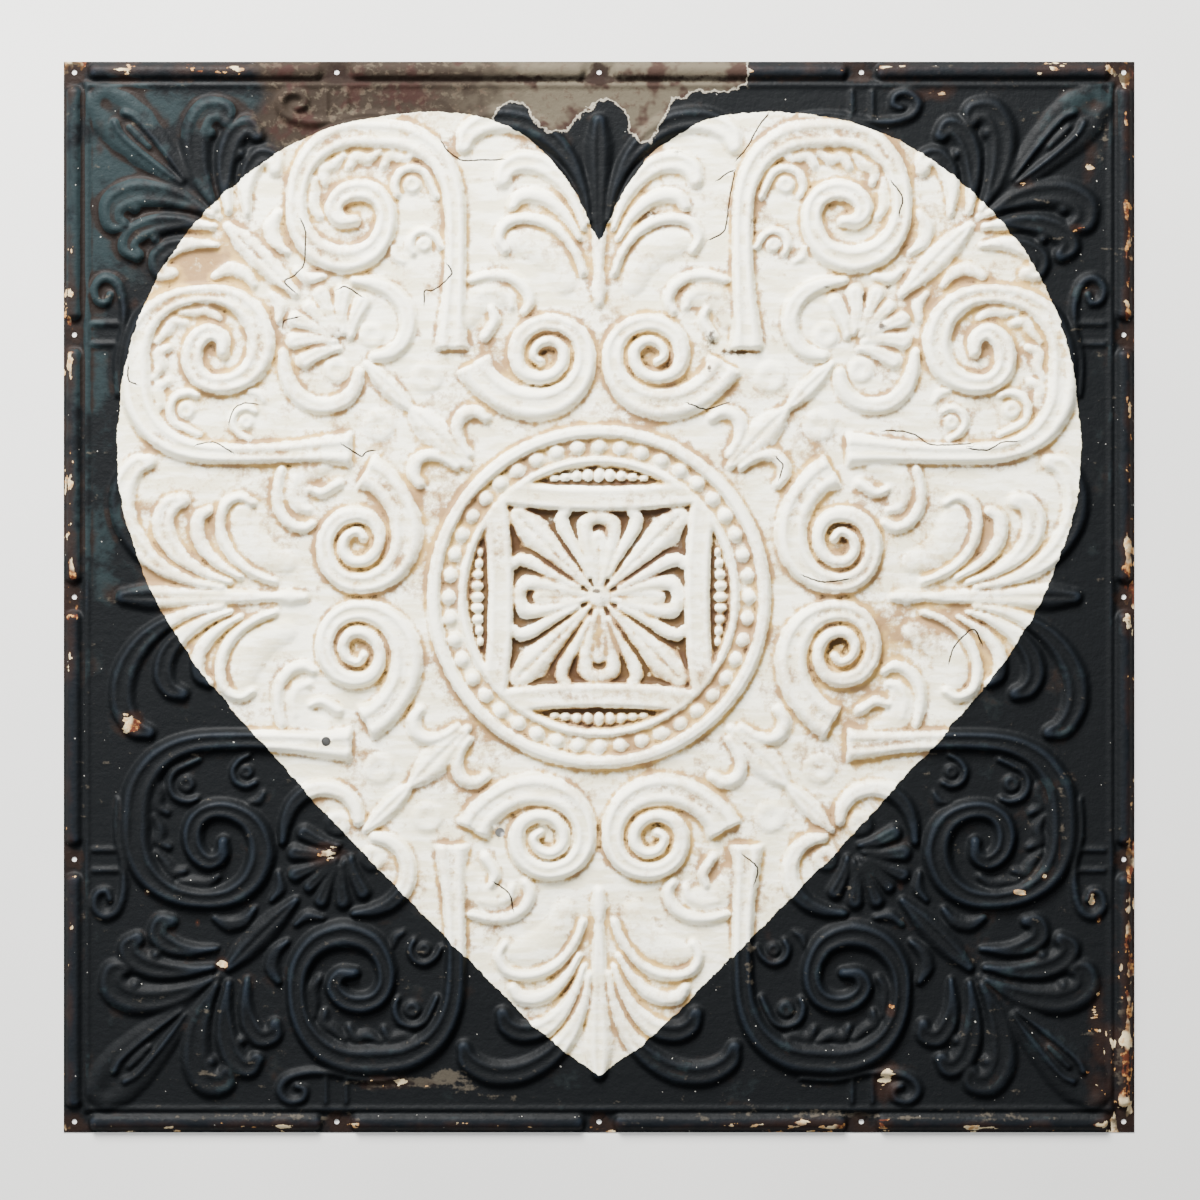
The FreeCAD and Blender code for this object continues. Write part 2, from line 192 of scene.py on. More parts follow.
def band_field(band: Band, x: Array, y: Array) -> Array:
    """Height that one band adds: the section at distance over half width from the nearest point of its way.

    Args:
        band: the band.
        x: first coordinate of each point, in millimetres.
        y: second coordinate.

    Returns:
        Height in millimetres, zero outside the band.
    """
    curve = smooth_way(band.way)
    halves = np.interp(np.linspace(0, 1, len(curve)), np.linspace(0, 1, len(band.halves)), band.halves)
    reach = halves.max()
    near = ((x > curve[:, 0].min() - reach) & (x < curve[:, 0].max() + reach)
            & (y > curve[:, 1].min() - reach) & (y < curve[:, 1].max() + reach))
    height = np.zeros_like(x)
    px, py = x[near][:, None], y[near][:, None]
    share, gap = nearest_on(curve[:-1], curve[1:], px, py)
    half = halves[:-1] + share * (halves[1:] - halves[:-1])
    q_all = gap / half
    if band.blunt:
        run_x, run_y = curve[1] - curve[0]
        beyond = ((px - curve[0, 0]) * run_x + (py - curve[0, 1]) * run_y) < 0
        q_all[:, :BLUNT_SPANS] = np.where(beyond, OUTSIDE, q_all[:, :BLUNT_SPANS])
    best = q_all.argmin(axis=1)[:, None]
    q = np.take_along_axis(q_all, best, 1)[:, 0]
    wide = np.take_along_axis(np.broadcast_to(half, q_all.shape), best, 1)[:, 0]
    height[near] = np.where(q < 1, band.rise * section_height(q, band.section, wide), 0.0)
    return height


def distance_inside(outline: Array, x: Array, y: Array) -> Array:
    """Signed distance to a closed outline, positive inside: nearest side's distance, signed by crossings.

    Args:
        outline: corners of the outline, one row each.
        x: first coordinate of each point.
        y: second coordinate.

    Returns:
        The distance of each point.
    """
    flat_x, flat_y = x.ravel(), y.ravel()
    nearest = np.full(flat_x.shape, 1e9)
    inside = np.zeros(flat_x.shape, dtype=bool)
    for start, end in zip(outline, np.roll(outline, -1, axis=0)):
        (ax, ay), (bx, by) = start, end
        nearest = np.minimum(nearest, nearest_on(start, end, flat_x, flat_y)[1])
        crosses = (ay > flat_y) != (by > flat_y)
        if ay != by:
            inside ^= crosses & (flat_x < (bx - ax) * (flat_y - ay) / (by - ay) + ax)
    return np.where(inside, nearest, -nearest).reshape(x.shape)


@dataclass
class Relief:
    """The pressed pattern of the tile as a height over the plane of the flange, in millimetres."""

    cut_edge: float = 311.0
    nail_line: float = 304.8
    nail_step: float = 152.4
    sheet: float = 0.38
    field_level: float = 1.5
    bead_from_edge: float = 11.5
    bead_width: float = 3.6
    bead_foot: float = 0.4
    bead_rise: float = 1.7
    roll_half: float = 5.0
    roll_rise: float = 4.2
    roll_end: float = 3.6
    pad_length: float = 16.6
    corner_gap: float = 0.6
    rim_radius: float = 100.0
    rim_width: float = 8.0
    rim_top: float = 6.6
    rim_groove: float = 0.16
    ring_floor: float = 2.4
    inner_radius: float = 79.1
    plateau: float = 4.8
    ground: float = 0.4
    wall_run: float = 2.3
    plate_slope: Point = (1.0, 3.2)  # from here to there beyond the inner radius the plateau slopes down
    plate_reach: float = 3.4
    pocket_inset: float = 1.2
    bow_radius: float = 420.0
    bow_centre: float = 477.0
    bar_half: float = 6.0
    bead_count: int = 44
    bead_ring: float = 87.2
    bead_half: float = 4.6
    beads: tuple[float, ...] = (1.8, 2.7, 3.5, 4.2, 4.6, 4.2, 3.5, 2.7, 1.8)
    bead_step: float = 6.5
    row_gap: float = 7.6  # from a bar's foot to the middle of the row of beads in the pocket
    row_bend: float = 360.0
    egg_share: float = 0.47
    scroll_rise: float = 5.4
    leaf_rise: float = 3.8
    flower_rise: float = 3.6
    ball_rise: float = 3.1
    egg_rise: float = 3.5
    lip_rise: float = 0.5
    lip_inset: float = 1.6
    lip_width: float = 1.1

    def scrolls(self) -> list[Band]:
        """Bands of the large and small scrolls and the ties, from the octant next to the upper axis.

        Returns:
            The bands.
        """
        rise = self.scroll_rise
        large = [(85.5, 144), (85.5, 152), (85, 163), (84, 177), (83.3, 195), (83.2, 215),
                 (84.5, 233), (89, 247), (97.5, 258.5), (112, 266.8), (130, 269), (147, 268),
                 (161.5, 261), (171.5, 248), (175.5, 231), (173.5, 214), (163.5, 201),
                 (147.5, 195.8), (132.5, 200.5), (124.8, 211.5), (123.6, 223.5), (128.5, 232.5),
                 (138, 236), (148, 233.5), (153.6, 226), (150, 219), (142, 218)]
        small = [(73.3, 135.5), (69, 128), (60.3, 119.8), (48.8, 113.6), (36, 111.8), (24, 114.5),
                 (14, 122), (8.6, 133), (8.8, 145), (15, 154.3), (25.5, 158.8), (36, 157.8),
                 (45, 151), (48, 141), (45.3, 132), (37, 127.2), (27.6, 128.4), (21.2, 135),
                 (21, 143.5), (27.5, 148.6), (35, 146.4), (38, 140), (34, 136.5)]
        return [
            Band(small, (11.4, 10.4, 9.8, 10, 10.4, 9.6, 8.2, 7.1, 6.6, 6.1, 5.8, 5.6, 5.4, 5.1, 4.7, 4.2, 4,
                         4, 3.9, 3.6, 3.2, 2.8, 2.4), rise, Section.FLUTED, blunt=True),
            Band(large, (10.5, 9.4, 8.2, 7, 6.4, 6.4, 6.8, 7.6, 8.6, 9.6, 9.9, 9.4, 8.4, 7, 6.4, 7.2, 8.4, 9,
                         7.8, 6.6, 6.2, 6.6, 6.9, 6.6, 6, 5, 3.6), rise, Section.FLUTED, blunt=True),
            Band([(146.9, 279), (146.9, 293.5)], (1.9, 1.9), 1.7),
            Band([(158.5, 277.5), (158.5, 293.5)], (1.9, 1.9), 1.7),
            Band([(117, 279.5), (138, 280), (156, 276), (171, 276), (182, 280), (185, 287), (180, 292.5),
                  (172.5, 291.5), (170.5, 286), (175.5, 283.5)],
                 (1.4, 1.8, 2.4, 3, 3.4, 3.4, 3.2, 2.8, 2.6, 2.6), 2.8),
            Band([(104, 259), (112.5, 255), (121, 256.5), (125, 250.5)], (2.4, 4, 4.4, 2.6), 2.4),
            Band([(127, 258), (134.5, 254.5), (141.5, 255.5), (145, 249.5)], (2.4, 4, 4.4, 2.6), 2.6),
            Band([(148, 256.5), (154.5, 251), (160, 247.5), (159, 240.5)], (2.4, 4, 4.4, 2.6), 2.6),
            Band([(165, 243), (165.5, 235), (166, 227.5), (162, 221)], (2.2, 3.8, 4.2, 2.6), 2.6),
        ]

    def palmettes(self) -> list[Band]:
        """Bands of the leaves at the middle of each side and in each corner.

        Returns:
            The bands.
        """
        rise = self.leaf_rise
        four = Copies.FOUR
        return [
            Band([(9, 188), (12, 196.5), (17.5, 206), (25, 213.5), (35, 218.5), (46, 219.5), (54.5, 216),
                  (58, 208), (54.5, 201)], (2.2, 2.8, 3.2, 3.5, 3.7, 3.7, 3.6, 3.3, 2.6), rise),
            Band([(20, 182), (24.5, 193), (32, 201.5), (42, 206), (50, 206.5)], (7, 9, 10.4, 9.6, 6),
                 rise * 0.52),
            Band([(11.5, 208), (18.5, 220), (27.5, 229), (37, 233), (46, 232), (50, 226.5)],
                 (1.8, 3.2, 4.2, 4.6, 4.4, 3.2), rise * 0.95, Section.FLUTED),
            Band([(8.5, 214), (14, 229), (22.5, 242), (33, 250.5), (44.5, 252.8), (53, 249), (56, 242)],
                 (1.8, 3.6, 5.2, 6.6, 7, 6.4, 4.8), rise, Section.FLUTED),
            Band([(5.5, 218), (9, 236), (17, 253.5), (29, 267), (45, 275.5), (62, 276.5), (75, 270),
                  (78.5, 261.5)], (1.8, 3.6, 5.4, 7, 8, 8, 7, 4.8), rise, Section.FLUTED),
            Band([(0, 188), (0, 205), (0, 225), (0, 245), (0, 262), (0, 276)], (2.4, 4.2, 5.4, 7.4, 8.4, 5),
                 rise, Section.VEINED),
            Band([(222, 225), (229.5, 240), (233.5, 255), (233.5, 270), (227.5, 281), (218, 281.5),
                  (216, 276)], (2.6, 6, 8.6, 9.8, 9.6, 8, 5), rise, Section.FLUTED),
            Band([(225.5, 269.5), (225.7, 269.7)], (4.4, 4.4), rise * 0.9),
            Band([(215, 224), (217, 240), (216, 256), (211, 268.5), (203.5, 273), (198.5, 268)],
                 (2.2, 5, 7.4, 8, 7, 5), rise, Section.FLUTED),
            Band([(207.6, 257.2), (207.8, 257.4)], (3.6, 3.6), rise * 0.9),
            Band([(204, 222), (205, 236), (202.5, 248), (196.5, 255.5), (189, 254), (188, 248)],
                 (1.8, 4.4, 6.4, 7, 6, 4.2), rise * 0.95, Section.FLUTED),
            Band(diagonal(221, 235, 250, 262, 272, 280, 286), (2.4, 6.4, 10.4, 14, 16.4, 16, 12), rise * 0.8,
                 Section.CUPPED, four),
            Band([(240, 242), (249, 254.5), (258.5, 266.5), (268.5, 277.5), (275, 281)],
                 (1.6, 2.4, 2.8, 3, 3), rise * 1.05),
            Band(diagonal(261, 267, 272.5), (2.4, 3.8, 2.4), rise * 0.9, copies=four),
        ]

    def leaves(self) -> list[Band]:
        """Bands of the smaller curls, flowers and leaves between the scrolls.

        Returns:
            The bands.
        """
        rise = self.leaf_rise
        four = Copies.FOUR
        return [
            Band([(142, 183.5), (131, 182), (120.5, 177.5), (113, 169), (110.8, 158.5), (114, 148),
                  (121.5, 141.5), (130, 139.5)], (2.8, 4.4, 5.2, 5.4, 5.2, 5, 4.6, 3.6), rise,
                 Section.FLUTED),
            Band([(131.6, 151.8), (131.8, 152)], (8, 8), rise * 0.6, Section.CUPPED),
            Band([(144, 151), (142, 161), (137, 171)], (2, 4.4, 5.4), rise, Section.VEINED),
            Band([(148, 153), (149.5, 165), (148.5, 176.5)], (2, 4.2, 5.6), rise, Section.VEINED),
            Band([(152, 156), (157, 166), (161, 176)], (2, 3.8, 5.2), rise, Section.VEINED),
            Band(diagonal(152, 160, 168), (2, 3.8, 4.4), rise, Section.VEINED, four),
            Band([(94, 232), (97.6, 240), (101.5, 246.6), (108.4, 249), (115.6, 246), (118.4, 238.6),
                  (117, 233)], (2, 2.6, 3, 3, 3, 2.8, 2), rise * 0.85),
            Band([(108.4, 239.4), (108.5, 239.5)], (5.6, 5.6), rise * 0.8, Section.CUPPED),
            Band([(91.5, 203), (94.6, 208.6), (100.5, 212.4), (107, 210.6), (109.6, 204.6), (107.6, 199.4)],
                 (2, 2.4, 2.6, 2.6, 2.6, 2), rise * 0.8),
            Band([(101.4, 204.6), (101.5, 204.7)], (4.6, 4.6), rise * 0.8, Section.CUPPED),
            Band(diagonal(135, 128, 121, 115, 110), (2.2, 5.2, 6.2, 5, 2.4), rise, Section.VEINED, four),
            Band(diagonal(109, 102, 95, 88, 81, 76.5), (2.4, 7.6, 9.8, 8.4, 5, 3), rise, Section.VEINED,
                 four),
            Band([(99.6, 127.6), (99.7, 127.7)], (9.8, 9.8), rise * 0.5, Section.CUPPED),
            Band([(75.5, 82.5), (80.5, 90), (82.5, 98.5), (79, 105.5), (71.5, 107.5), (65.5, 104)],
                 (2.8, 3.6, 4.2, 4.6, 4.4, 3.4), rise),
            Band([(74, 184), (63, 186.5), (51.5, 185.5), (43, 179.5), (40, 171.5), (43, 165.5)],
                 (3, 3.6, 4, 4, 3.6, 2.6), rise * 0.9),
            Band([(69, 176), (60, 177.5), (52.5, 174), (50.5, 168.5)], (3, 3.8, 3.8, 2.6), rise * 0.7),
            Band([(66, 151), (60.5, 160.5), (62.5, 167.5)], (3.4, 3.4, 2.4), rise),
            Band([(76, 160), (72, 171), (62, 176), (54, 174)], (5, 9, 10, 6), rise * 0.5),
            Band([(0, 171), (0, 179), (0, 187)], (3, 5, 3), rise * 0.9, copies=four),
            Band([(113.5, 194.5), (118, 197.5), (119.5, 203)], (1.6, 3, 1.6), rise * 0.5),
            Band([(160, 186), (169, 185), (176, 190)], (2, 4, 2), rise * 0.7),
            Band([(181, 200), (188, 206), (190, 215), (186, 223)], (2, 4.4, 4.8, 2.6), rise * 0.8,
                 Section.FLUTED),
            Band(diagonal(176, 186, 196, 206, 215), (2.6, 6.4, 8.4, 7, 3), rise, Section.VEINED, four),
        ]

    def flower(self) -> list[Band]:
        """Bands of the flower sunk into the medallion.

        Returns:
            The bands.
        """
        rise = self.flower_rise
        four = Copies.FOUR
        return [
            Band([(1.8, 8), (4.2, 18), (6.8, 28), (8.2, 37), (6.8, 44), (1.5, 46.6)],
                 (1.8, 3.2, 4.4, 5.2, 5.2, 5.2), rise, sunk=True),
            Band([(0, 8), (0, 18), (0, 27), (0, 34)], (2.4, 5, 6.4, 5.6), rise * 0.9, Section.VEINED,
                 four, sunk=True),
            Band([(5.5, 11.5), (10.5, 22), (16, 32), (20.5, 40), (21.6, 47), (18.5, 49.5)],
                 (1.6, 3, 4, 4.4, 4, 3.2), rise, Section.FLUTED, sunk=True),
            Band(diagonal(6.2, 14, 23, 32, 40, 46.5), (2, 4.4, 6.6, 8.6, 9.6, 8.4), rise * 1.08,
                 Section.VEINED, four, sunk=True),
            Band([(0, 0), (0, 0.1)], (8.6, 8.6), rise, copies=four, sunk=True),
        ]

    def frame(self, x: Array, y: Array) -> Array:
        """Flange, border rolls and bead over the first quadrant.

        The rolls are round in section and end before each nailing pad. The bead is a round ridge on the step
        from the flange up to the field.

        Args:
            x: first coordinate, 0 or more.
            y: second coordinate, 0 or more.

        Returns:
            Height over the flange.
        """
        across = np.maximum(x, y)
        along = np.minimum(x, y)
        start = self.cut_edge - self.bead_from_edge
        inner = start - self.bead_width
        step = self.field_level * ramp(-across, -start, -inner)
        q = np.abs(across - (start + inner) / 2) / (self.bead_width / 2 + self.bead_foot)
        bead = self.bead_rise * np.clip(1 - q ** 2, 0, 1) ** 0.7
        nearest = np.abs((along + self.nail_step / 2) % self.nail_step - self.nail_step / 2)
        into = nearest - self.pad_length / 2
        end = np.clip(1 - into / self.roll_end, 0, 1)
        q = np.hypot(np.abs(across - self.nail_line) / self.roll_half, end)
        roll = self.roll_rise * np.clip(1 - q ** 2.4, 0, 1) ** 0.6
        roll = np.where(into > 0, roll, 0.0)
        corner = along > self.nail_line - self.pad_length / 2 - self.corner_gap
        roll = np.where(corner, 0.0, roll)
        return np.maximum(step + bead, roll)

    def medallion(self, x: Array, y: Array) -> Array:
        """Rim, row of beads, inner roll, bars and sunk square over the first quadrant.

        The bars bow inwards: each is the band between two circles about a far centre on its axis. In the lens
        pockets between bars and inner roll stand rows of beads.

        Args:
            x: first coordinate.
            y: second coordinate.

        Returns:
            Height over the flange, which holds inside the rim's outer foot.
        """
        r = np.hypot(x, y)
        u, v = np.minimum(x, y), np.maximum(x, y)
        outside = self.field_level * np.ones_like(r)
        crest = self.rim_radius - self.rim_width / 2
        rise = self.rim_top - self.ring_floor
        rim = rise * np.clip(1 - (np.abs(r - crest) / (self.rim_width / 2)) ** 3, 0, 1) ** 0.7
        rim *= 1 - self.rim_groove * np.exp(-((r - crest - 0.4) / 0.9) ** 2)
        level = np.where(r > crest, outside, self.ring_floor)
        height = level + rim * np.where(r > crest, (self.rim_top - self.field_level) / rise, 1)
        angle = np.arctan2(y, x)
        pitch = 2 * math.pi / self.bead_count
        off = (angle + pitch / 2) % pitch - pitch / 2
        q = np.hypot(off * self.bead_ring / self.bead_half, (r - self.bead_ring) / self.bead_half)
        ball = self.ball_rise * np.clip(1 - q ** 2, 0, 1) ** 0.6
        band = self.ring_floor + ball
        height = np.where((r < crest) & (r > self.inner_radius), np.maximum(height, band), height)
        bow = np.hypot(u, v - self.bow_centre)
        slope_start, slope_end = (self.inner_radius + run for run in self.plate_slope)
        plate = ramp(-r, -slope_end, -slope_start)
        pocket = np.minimum(self.bow_radius - self.bar_half - bow, self.inner_radius - self.pocket_inset - r)
        opening = bow - self.bow_radius - self.bar_half
        sunk = np.maximum(ramp(pocket, 0, self.wall_run), ramp(opening, 0, self.wall_run))
        lip = self.lip_rise * np.exp(-((np.maximum(pocket, opening) + self.lip_inset) / self.lip_width) ** 2)
        inner = self.ring_floor + (self.plateau - self.ring_floor) * plate + lip * plate
        inner -= (self.plateau - self.ground) * sunk * plate
        inner = np.maximum(inner, np.where(r > self.inner_radius, band, 0))
        height = np.where(r < self.inner_radius + self.plate_reach, inner, height)
        place = self.bow_centre - self.bow_radius + self.bar_half + self.row_gap
        for index, half in enumerate(self.beads):
            cx = (index - len(self.beads) // 2) * self.bead_step
            cy = place - cx * cx / self.row_bend
            q = np.hypot((u - abs(cx)) / (self.bead_step * self.egg_share), (v - cy) / half)
            egg = self.ground + self.egg_rise * np.clip(1 - q ** 2, 0, 1) ** 0.6
            height = np.where(q < 1, np.maximum(height, egg), height)
        return height

    def heights(self, x: Array, y: Array) -> Array:
        """Top of the sheet over the first quadrant: the base with every band set on it, a little softened.

        Args:
            x: first coordinate, 0 or more, on a regular grid.
            y: second coordinate.

        Returns:
            Height over the plane of the flange's underside.
        """
        u, v = np.minimum(x, y), np.maximum(x, y)
        r = np.hypot(x, y)
        base = self.frame(x, y)
        raised = np.zeros_like(x)
        sunk = np.zeros_like(x)
        for band in self.scrolls() + self.palmettes() + self.leaves() + self.flower():
            added = band_field(band, u, v)
            if band.copies is Copies.EIGHT:
                added = np.maximum(added, band_field(band, -u, v))
                added = np.maximum(added, band_field(band, v, u))
            if band.sunk:
                sunk = np.maximum(sunk, added)
            else:
                raised = np.maximum(raised, added)
        total = base + raised
        inside = self.medallion(x, y)
        opening = np.hypot(u, v - self.bow_centre) > self.bow_radius + self.bar_half
        inside = np.where(opening, np.maximum(inside, self.ground + sunk), inside)
        total = np.where(r < self.rim_radius, inside, total)
        return self.sheet + blur(total, 1)


@dataclass
class Heart:
    """The cream heart painted over the relief: a plain two-lobed heart of its own sizes, in millimetres."""

    half: Way = field(default_factory=lambda: [
        (0, 205), (12, 231), (33, 259), (62, 276.5), (92, 281.5), (132, 278), (171, 266), (206, 244),
        (238, 212), (260, 178), (273, 140), (279.5, 100), (278, 62), (267, 22), (248, -18), (224, -52),
        (190, -91), (146, -139), (88, -198), (34, -252), (0, -278)])

    def outline(self) -> Array:
        """Closed outline, mirrored about the upright axis."""
        right = smooth_way(self.half, 6)
        left = right[::-1][1:-1] * np.array([-1.0, 1.0])
        return np.vstack([right, left])


@dataclass(frozen=True)
class Patch:
    """A round area where a mark is strong: middle, reach along both axes, and strength."""

    x: float
    y: float
    wide: float
    high: float
    strength: float = 1.0

    def at(self, x: Array, y: Array) -> Array:
        """Strength at each point: a bell over the two reaches."""
        return self.strength * np.exp(-((x - self.x) / self.wide) ** 2 - ((y - self.y) / self.high) ** 2)


Patches = tuple[Patch, ...]


def patches(*rows: tuple[float, ...]) -> Patches:
    """Patches from rows of their middle, reach along both axes and strength."""
    return tuple(Patch(*row) for row in rows)


def with_spots(values: Array, spots: Patches, x: Array, y: Array) -> Array:
    """Adds the strength of every spot to a field."""
    for spot in spots:
        values = values + spot.at(x, y)
    return values


@dataclass
class Damage:
    """Wear of the paint, in millimetres: cracks in the cream, the strip torn open at the top, and patches."""

    cracks: tuple[Way, ...] = (
        [(-91, 264), (-87, 258), (-79, 253.5), (-70, 253.5), (-56, 254)],
        [(98, 280), (92, 272), (86, 261), (80, 254)],
        [(69, 242), (78, 247.5), (77, 238), (75.5, 229), (73, 213), (64.5, 207.5)],
        [(-87.5, 192), (-85, 188), (-88.5, 183.5), (-96.5, 178), (-101, 178), (-101.5, 171)],
        [(-233, 88), (-224, 90), (-217, 86.5), (-213, 84)],
        [(-172.5, 218), (-170, 211), (-171, 194), (-176, 187), (-182.5, 183), (-176.5, 177)],
        [(-214.5, 101), (-212, 109), (-206, 112.5), (-199, 112)],
        [(-272.5, 133), (-272.5, 125.5), (-268.5, 123.5)],
        [(-148, 88), (-141, 83.5), (-137.5, 81.5), (-135.5, 84), (-131, 85)],
        [(-150.5, 179), (-146.5, 180), (-138, 174.5)],
        [(-183.5, 157), (-182.5, 160.5), (-174.5, 162)],
        [(166, 96.5), (176.5, 96), (184, 94), (190.5, 89), (200, 88), (215.5, 89)],
        [(215, 86), (225, 85), (233.5, 89.5), (242, 90)],
        [(118.5, 12), (131, 8.5), (144.5, 10.5)],
        [(203, -37.5), (206, -29), (213, -21), (218, -19), (222, -27)],
        [(103, 80.5), (106.5, 76.5), (104.5, 69)],
        [(52, 112), (62, 109), (75, 113)],
        [(170, 240), (176, 231), (174, 222)],
        [(-60, -166), (-52, -172), (-50, -181)],
        [(84, -150), (92, -157), (90, -166)],
    )
    strip: Way = field(default_factory=lambda: [
        (-202, 316), (-198, 303), (-193, 291), (-200, 277), (-188, 262), (-150, 246), (-68, 246), (-59, 282),
        (-50.5, 288), (-41.5, 285), (-38, 277), (-29.5, 270), (-18.5, 271), (-11.5, 280), (-3, 285),
        (5, 288.5), (10.5, 285), (16, 280), (18.5, 270), (24, 264), (31, 264.5), (34.5, 271), (38.5, 280),
        (42.5, 289), (58.5, 293.5), (70.5, 292), (85, 298), (87, 316)])
    worn: Patches = patches(  # black rubbed or chipped
        (306, 12, 9, 24, 0.32), (307, 205, 6, 75, 0.28), (303, -228, 12, 44, 0.3),
        (297, -282, 24, 22, 0.44), (-270, -73, 7, 8, 0.8), (-162, -148, 15, 8, 0.62),
        (-219, -213, 4, 4, 0.8), (169, -240, 4, 6, 0.9), (-304, 0, 8, 24, 0.3),
        (-306, 130, 7, 90, 0.12), (166, -284, 8, 14, 0.66), (135, -304, 50, 8, 0.24),
        (-116, -282, 28, 5, 0.42), (-170, -302, 40, 8, 0.14), (250, 300, 90, 9, 0.2),
        (-240, 302, 60, 9, 0.3), (276, 214, 6, 4, 0.7), (288, 284, 10, 6, 0.5),
        (284, 252, 5, 18, 0.4), (250, 240, 16, 6, 0.34), (-270, 170, 5, 6, 0.6),
        (100, -205, 8, 20, 0.35), (-235, 222, 8, 12, 0.4), (195, 292, 12, 5, 0.5),
        (243, -171, 4, 2, 0.8), (258, -162, 2, 2, 0.8), (286, -175, 2, 5, 0.8),
        (290, -187, 2, 3, 0.8), (-233, -189, 2, 3, 0.9), (-262, -171, 2, 2, 0.8),
        (309, -170, 3, 60, 0.26), (309, 60, 3, 60, 0.2), (267, -146, 1, 10, 0.6),
        (288, -250, 6, 22, 0.4), (175, -167, 4, 6, 0.5), (-290, 265, 5, 14, 0.5),
    )
    greened: Patches = patches(  # older grey-green paint; less than 0 is black over it
        (-275, 250, 50, 55, 1.0), (-300, 150, 26, 120, 0.8), (-220, 292, 50, 16, 0.5),
        (285, 286, 22, 12, 0.9), (-284, 30, 14, 30, 0.5), (-258, 268, 15, 6, -0.8),
        (-240, 254, 12, 7, -0.8), (-214, 256, 12, 16, -0.9), (-278, 222, 6, 12, -0.4),
    )
    scraped: Patches = patches(  # grey scrapes in the black
        (-109, -282, 30, 4.5, 1.1), (-86, -277, 12, 3, 0.8), (303, -262, 4, 36, 0.85),
        (88, -210, 4, 18, 0.75), (-226, -276, 8, 3, 0.7), (292, 268, 4, 14, 0.7),
        (-180, -302, 60, 3, 0.6), (150, -301, 110, 3, 0.55), (268, -120, 3, 22, 0.6),
    )
    stained: Patches = patches(  # tan stains in the cream
        (-182, 180, 6, 5, 1.2), (-219, 200, 9, 4, 0.9), (-99, 177, 5, 6, 0.9),
        (-258, 92, 10, 4, 1.0), (-229, 92, 10, 4, 0.8), (-230, 190, 30, 26, 0.35),
        (-198, 222, 14, 24, 0.25), (117, 62, 14, 10, 0.4), (178, -30, 32, 18, 0.3),
        (222, -34, 5, 9, 0.9), (150, 190, 60, 60, 0.12), (-60, -190, 60, 50, 0.15),
        (76, -130, 20, 30, 0.3), (-130, -60, 50, 30, 0.15), (255, 60, 14, 60, 0.25),
        (-6, -2, 50, 50, 0.5),
    )
    darkened: Patches = patches(  # dark pits in the cream
        (140, 38, 5, 6, 0.5), (139, -25, 5, 7, 0.5), (65, 150, 4, 8, 0.9),
        (78, 142, 9, 2.5, 0.9), (63.7, 132.6, 1.6, 2.4, 0.9), (30, 222, 9, 4, 0.5),
        (-40, 262, 9, 2.5, 0.6), (45, 258, 5, 3, 0.6), (90, 216, 3, 5, 0.6),
        (132, 180, 3, 2, 0.9), (153.5, 174, 2, 3, 0.9), (168, 180, 3, 2, 0.9),
        (164, 157, 3, 3, 0.9), (-2, 4, 4, 3, 0.9), (3, -3, 3, 4, 0.8),
    )

    def crack_marks(self, x: Array, y: Array) -> tuple[Array, Array]:
        """How far each point lies from the nearest crack.

        The sign tells the crack's side, so that the value passes through zero on the crack however coarse
        the mesh is.

        Args:
            x: first coordinate on the tile.
            y: second coordinate.

        Returns:
            The signed distance, and a mark that is 1 close to a crack.
        """
        nearest = np.full(x.shape, 50.0)
        signed = np.full(x.shape, 50.0)
        for way in self.cracks:
            curve = smooth_way(way, 3)
            for start, end in zip(curve, curve[1:]):
                gap = nearest_on(start, end, x, y)[1]
                run_x, run_y = end - start
                side = np.sign((x - start[0]) * run_y - (y - start[1]) * run_x)
                closer = gap < nearest
                nearest = np.where(closer, gap, nearest)
                signed = np.where(closer, gap * side, signed)
        return np.clip(signed, -6.0, 6.0), ramp(-nearest, -3.0, -1.6)


@dataclass
class Shell:
    """Points and faces of a quarter while it is built: the smooth faces, and the flat ones of the walls.

    The blocks of points are by turns of the face and of the underside: the fine grid, the coarse grid, then
    the two edges of each hole.
    """

    points: list[Array]
    quads: list[Array] = field(default_factory=list)
    wall_quads: list[Array] = field(default_factory=list)
    tris: list[Array] = field(default_factory=list)
    wall_tris: list[Array] = field(default_factory=list)

    def add_edges(self, upper: Array, lower: Array) -> tuple[Array, Array]:
        """Adds the upper and lower edge of a hole, and gives their points' numbers."""
        first = sum(map(len, self.points))
        self.points += [upper, lower]
        return first + np.arange(len(upper)), first + len(upper) + np.arange(len(lower))


